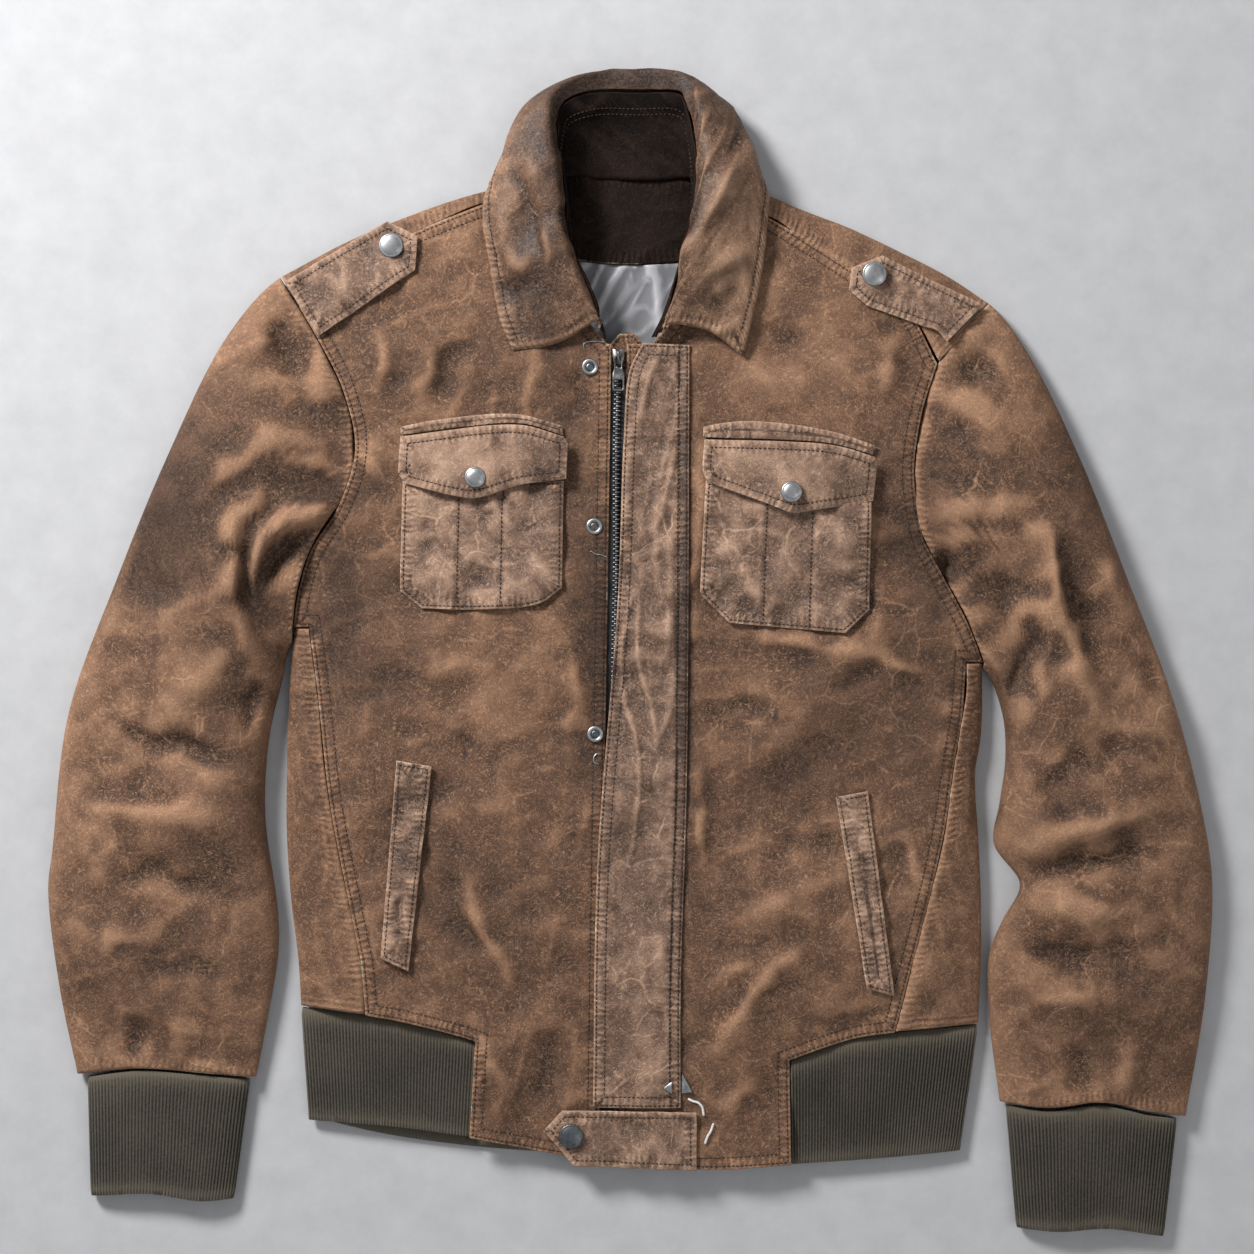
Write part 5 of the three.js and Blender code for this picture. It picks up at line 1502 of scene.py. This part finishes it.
SOCKET = [(2.9, 0), (5.6, 0), (5.7, 0.7), (5.2, 1.3), (4.5, 1.5), (3.8, 1.4), (3.3, 1.0), (2.9, 0.2)]
HOLLOW = [(2.95, 0.1), (2.95, 0.4), (1.2, 0.3)]
for k, (x, y) in enumerate([[-28, 196], [-25, 87], [-24.5, -55]], 1):
    level = level_of("front_right", x, y, 5) - SOCKET_IN
    joined(f"socket_{k}", [turned_part(SOCKET, x, y, level)], snap_metal, "snap_metal", f"front_socket_{k}")
    # A dark metal disc fills each socket's hollow: painted shade inside the socket.
    joined(f"socket_hollow_{k}", [turned_part(HOLLOW, x, y, level)], dark_snap_metal, "snap_metal")

CLIPS = [("hem_clip_right", "placket", [[22, -297], [28, -301], [28, -292]]),
         ("hem_clip_left", "front_left", [[34.6, -286], [34.6, -301], [42, -300]])]
for name, under, corners in CLIPS:
    level = float(np.max(surfaces[under](*np.array(corners, float).T)))
    joined(name, [plate(rounded(corners, 0.8, 4), level, level + 1.3, 0.3)], snap_metal, "snap_metal", name)


def wires(paths, height_at, radius, gap):
    """Wires or threads along paths seen from above, at height_at(x, y)."""
    lines = [Line(path).every(gap) for path in paths]
    return [rod(np.column_stack([line, height_at(*line.T)]), radius, 8) for line in lines]


WIRES = [[[-32, 208], [-32.3, 211.5], [-30, 213], [-24, 213.4], [-18, 213]],
         [[-27.4, 70], [-24, 68], [-20, 67.4], [-16.5, 66]],
         [[-20.5, -68.8], [-23.5, -68.6], [-25.4, -71], [-25, -74.4], [-22, -75.6]]]
joined("wires", wires(WIRES, lambda x, y: surfaces["front_right"](x, y) + 0.5, 0.5, 0.8), snap_metal, "snap_metal")


# ---------------------------------------------------------------- stitching and loose threads
# Thick dark-brown thread, about three millimetres to the stitch. Two ends of pale thread have come loose beside
# the hem tab.


THREAD = 0.42  # radius


def stitch(start, end):
    """One stitch: a capsule from start to end."""
    along = end - start
    side = np.cross(along, (0, 0, 1.0))
    side /= max(np.linalg.norm(side), 1e-9)
    over = np.cross(side, along) / np.linalg.norm(along)
    ring = [THREAD * (math.cos(a) * side + math.sin(a) * over) for a in 2 * np.pi * np.arange(5) / 5]
    inner, outer = start + along * 0.2, end - along * 0.2
    points = [start, *(inner + r for r in ring), *(outer + r for r in ring), end]
    faces = []
    for i in range(5):
        j = (i + 1) % 5
        faces += [[0, 1 + j, 1 + i], [1 + i, 1 + j, 6 + j, 6 + i], [11, 6 + i, 6 + j]]
    return points, faces


def thread(name, low, high):
    made = Finish(name, Specular_IOR_Level=0.3)
    twist = made.speckle(700, 2)
    made.feed(Base_Color=made.blend(((twist - 0.5) * 2.5 + 0.4).kept(), low, high), Roughness=0.7 + twist * 0.2)
    return made.material


joined("stitching", [stitch(np.asarray(a), np.asarray(b)) for a, b in stitches],
       thread("brown_thread", (0.012, 0.008, 0.006, 1), (0.075, 0.046, 0.03, 1)), "leather")
LOOSE = [[[39.5, -305], [42.5, -306.5], [46, -307.5], [48.8, -310.5], [49.8, -316]],
         [[56.4, -322], [54.6, -327], [52.5, -330.5], [50.8, -335.3]]]
joined("loose_threads", wires(LOOSE, lambda x, y: body_lies(x, y) + 1.2, 0.85, 1),
       thread("pale_thread", (0.55, 0.53, 0.5, 1), (0.8, 0.78, 0.74, 1)), "leather")


# ---------------------------------------------------------------- floor, light and camera
# A plain pale surface, a broad soft light from the upper left with weak fill all round, and a camera straight above.

bpy.ops.mesh.primitive_plane_add(size=8)
surface = bpy.context.object
surface.name = "surface"
stone = Finish("pale_surface", Roughness=0.8)
grain = stone.speckle(35, 6, 0.7)
stone.feed(Base_Color=stone.blend(grain, (0.36, 0.36, 0.37, 1), (0.52, 0.52, 0.53, 1)))
surface.data.materials.append(stone.material)
bpy.context.scene.view_settings.view_transform = "Standard"


def area_light(name, place, size, power):
    """A square lamp that faces the middle of the jacket."""
    light = bpy.data.objects.new(name, bpy.data.lights.new(name, "AREA"))
    light.data.energy, light.data.size = power, size
    light.location = place
    light.rotation_euler = (-Vector(place)).to_track_quat("-Z", "Y").to_euler()
    bpy.context.scene.collection.objects.link(light)


area_light("key", (-1.2, 1.3, 1.25), 0.55, 68)
area_light("fill", (1.3, -0.6, 1.8), 1.6, 8)
world = bpy.data.worlds.new("studio")
bpy.context.scene.world = world
world.use_nodes = True
background = world.node_tree.nodes["Background"]
background.inputs["Color"].default_value = (0.95, 0.97, 1, 1)
background.inputs["Strength"].default_value = 0.36

SEEN = 0.860  # width of the view, in metres, at the height below
SEEN_AT = 0.015
AIM = (-0.0027, 0.0182)
LENS, SENSOR = 85, 36
camera = bpy.data.objects.new("camera", bpy.data.cameras.new("camera"))
camera.data.lens, camera.data.sensor_width = LENS, SENSOR
camera.location = (*AIM, SEEN_AT + SEEN * LENS / SENSOR)
bpy.context.scene.collection.objects.link(camera)
bpy.context.scene.camera = camera
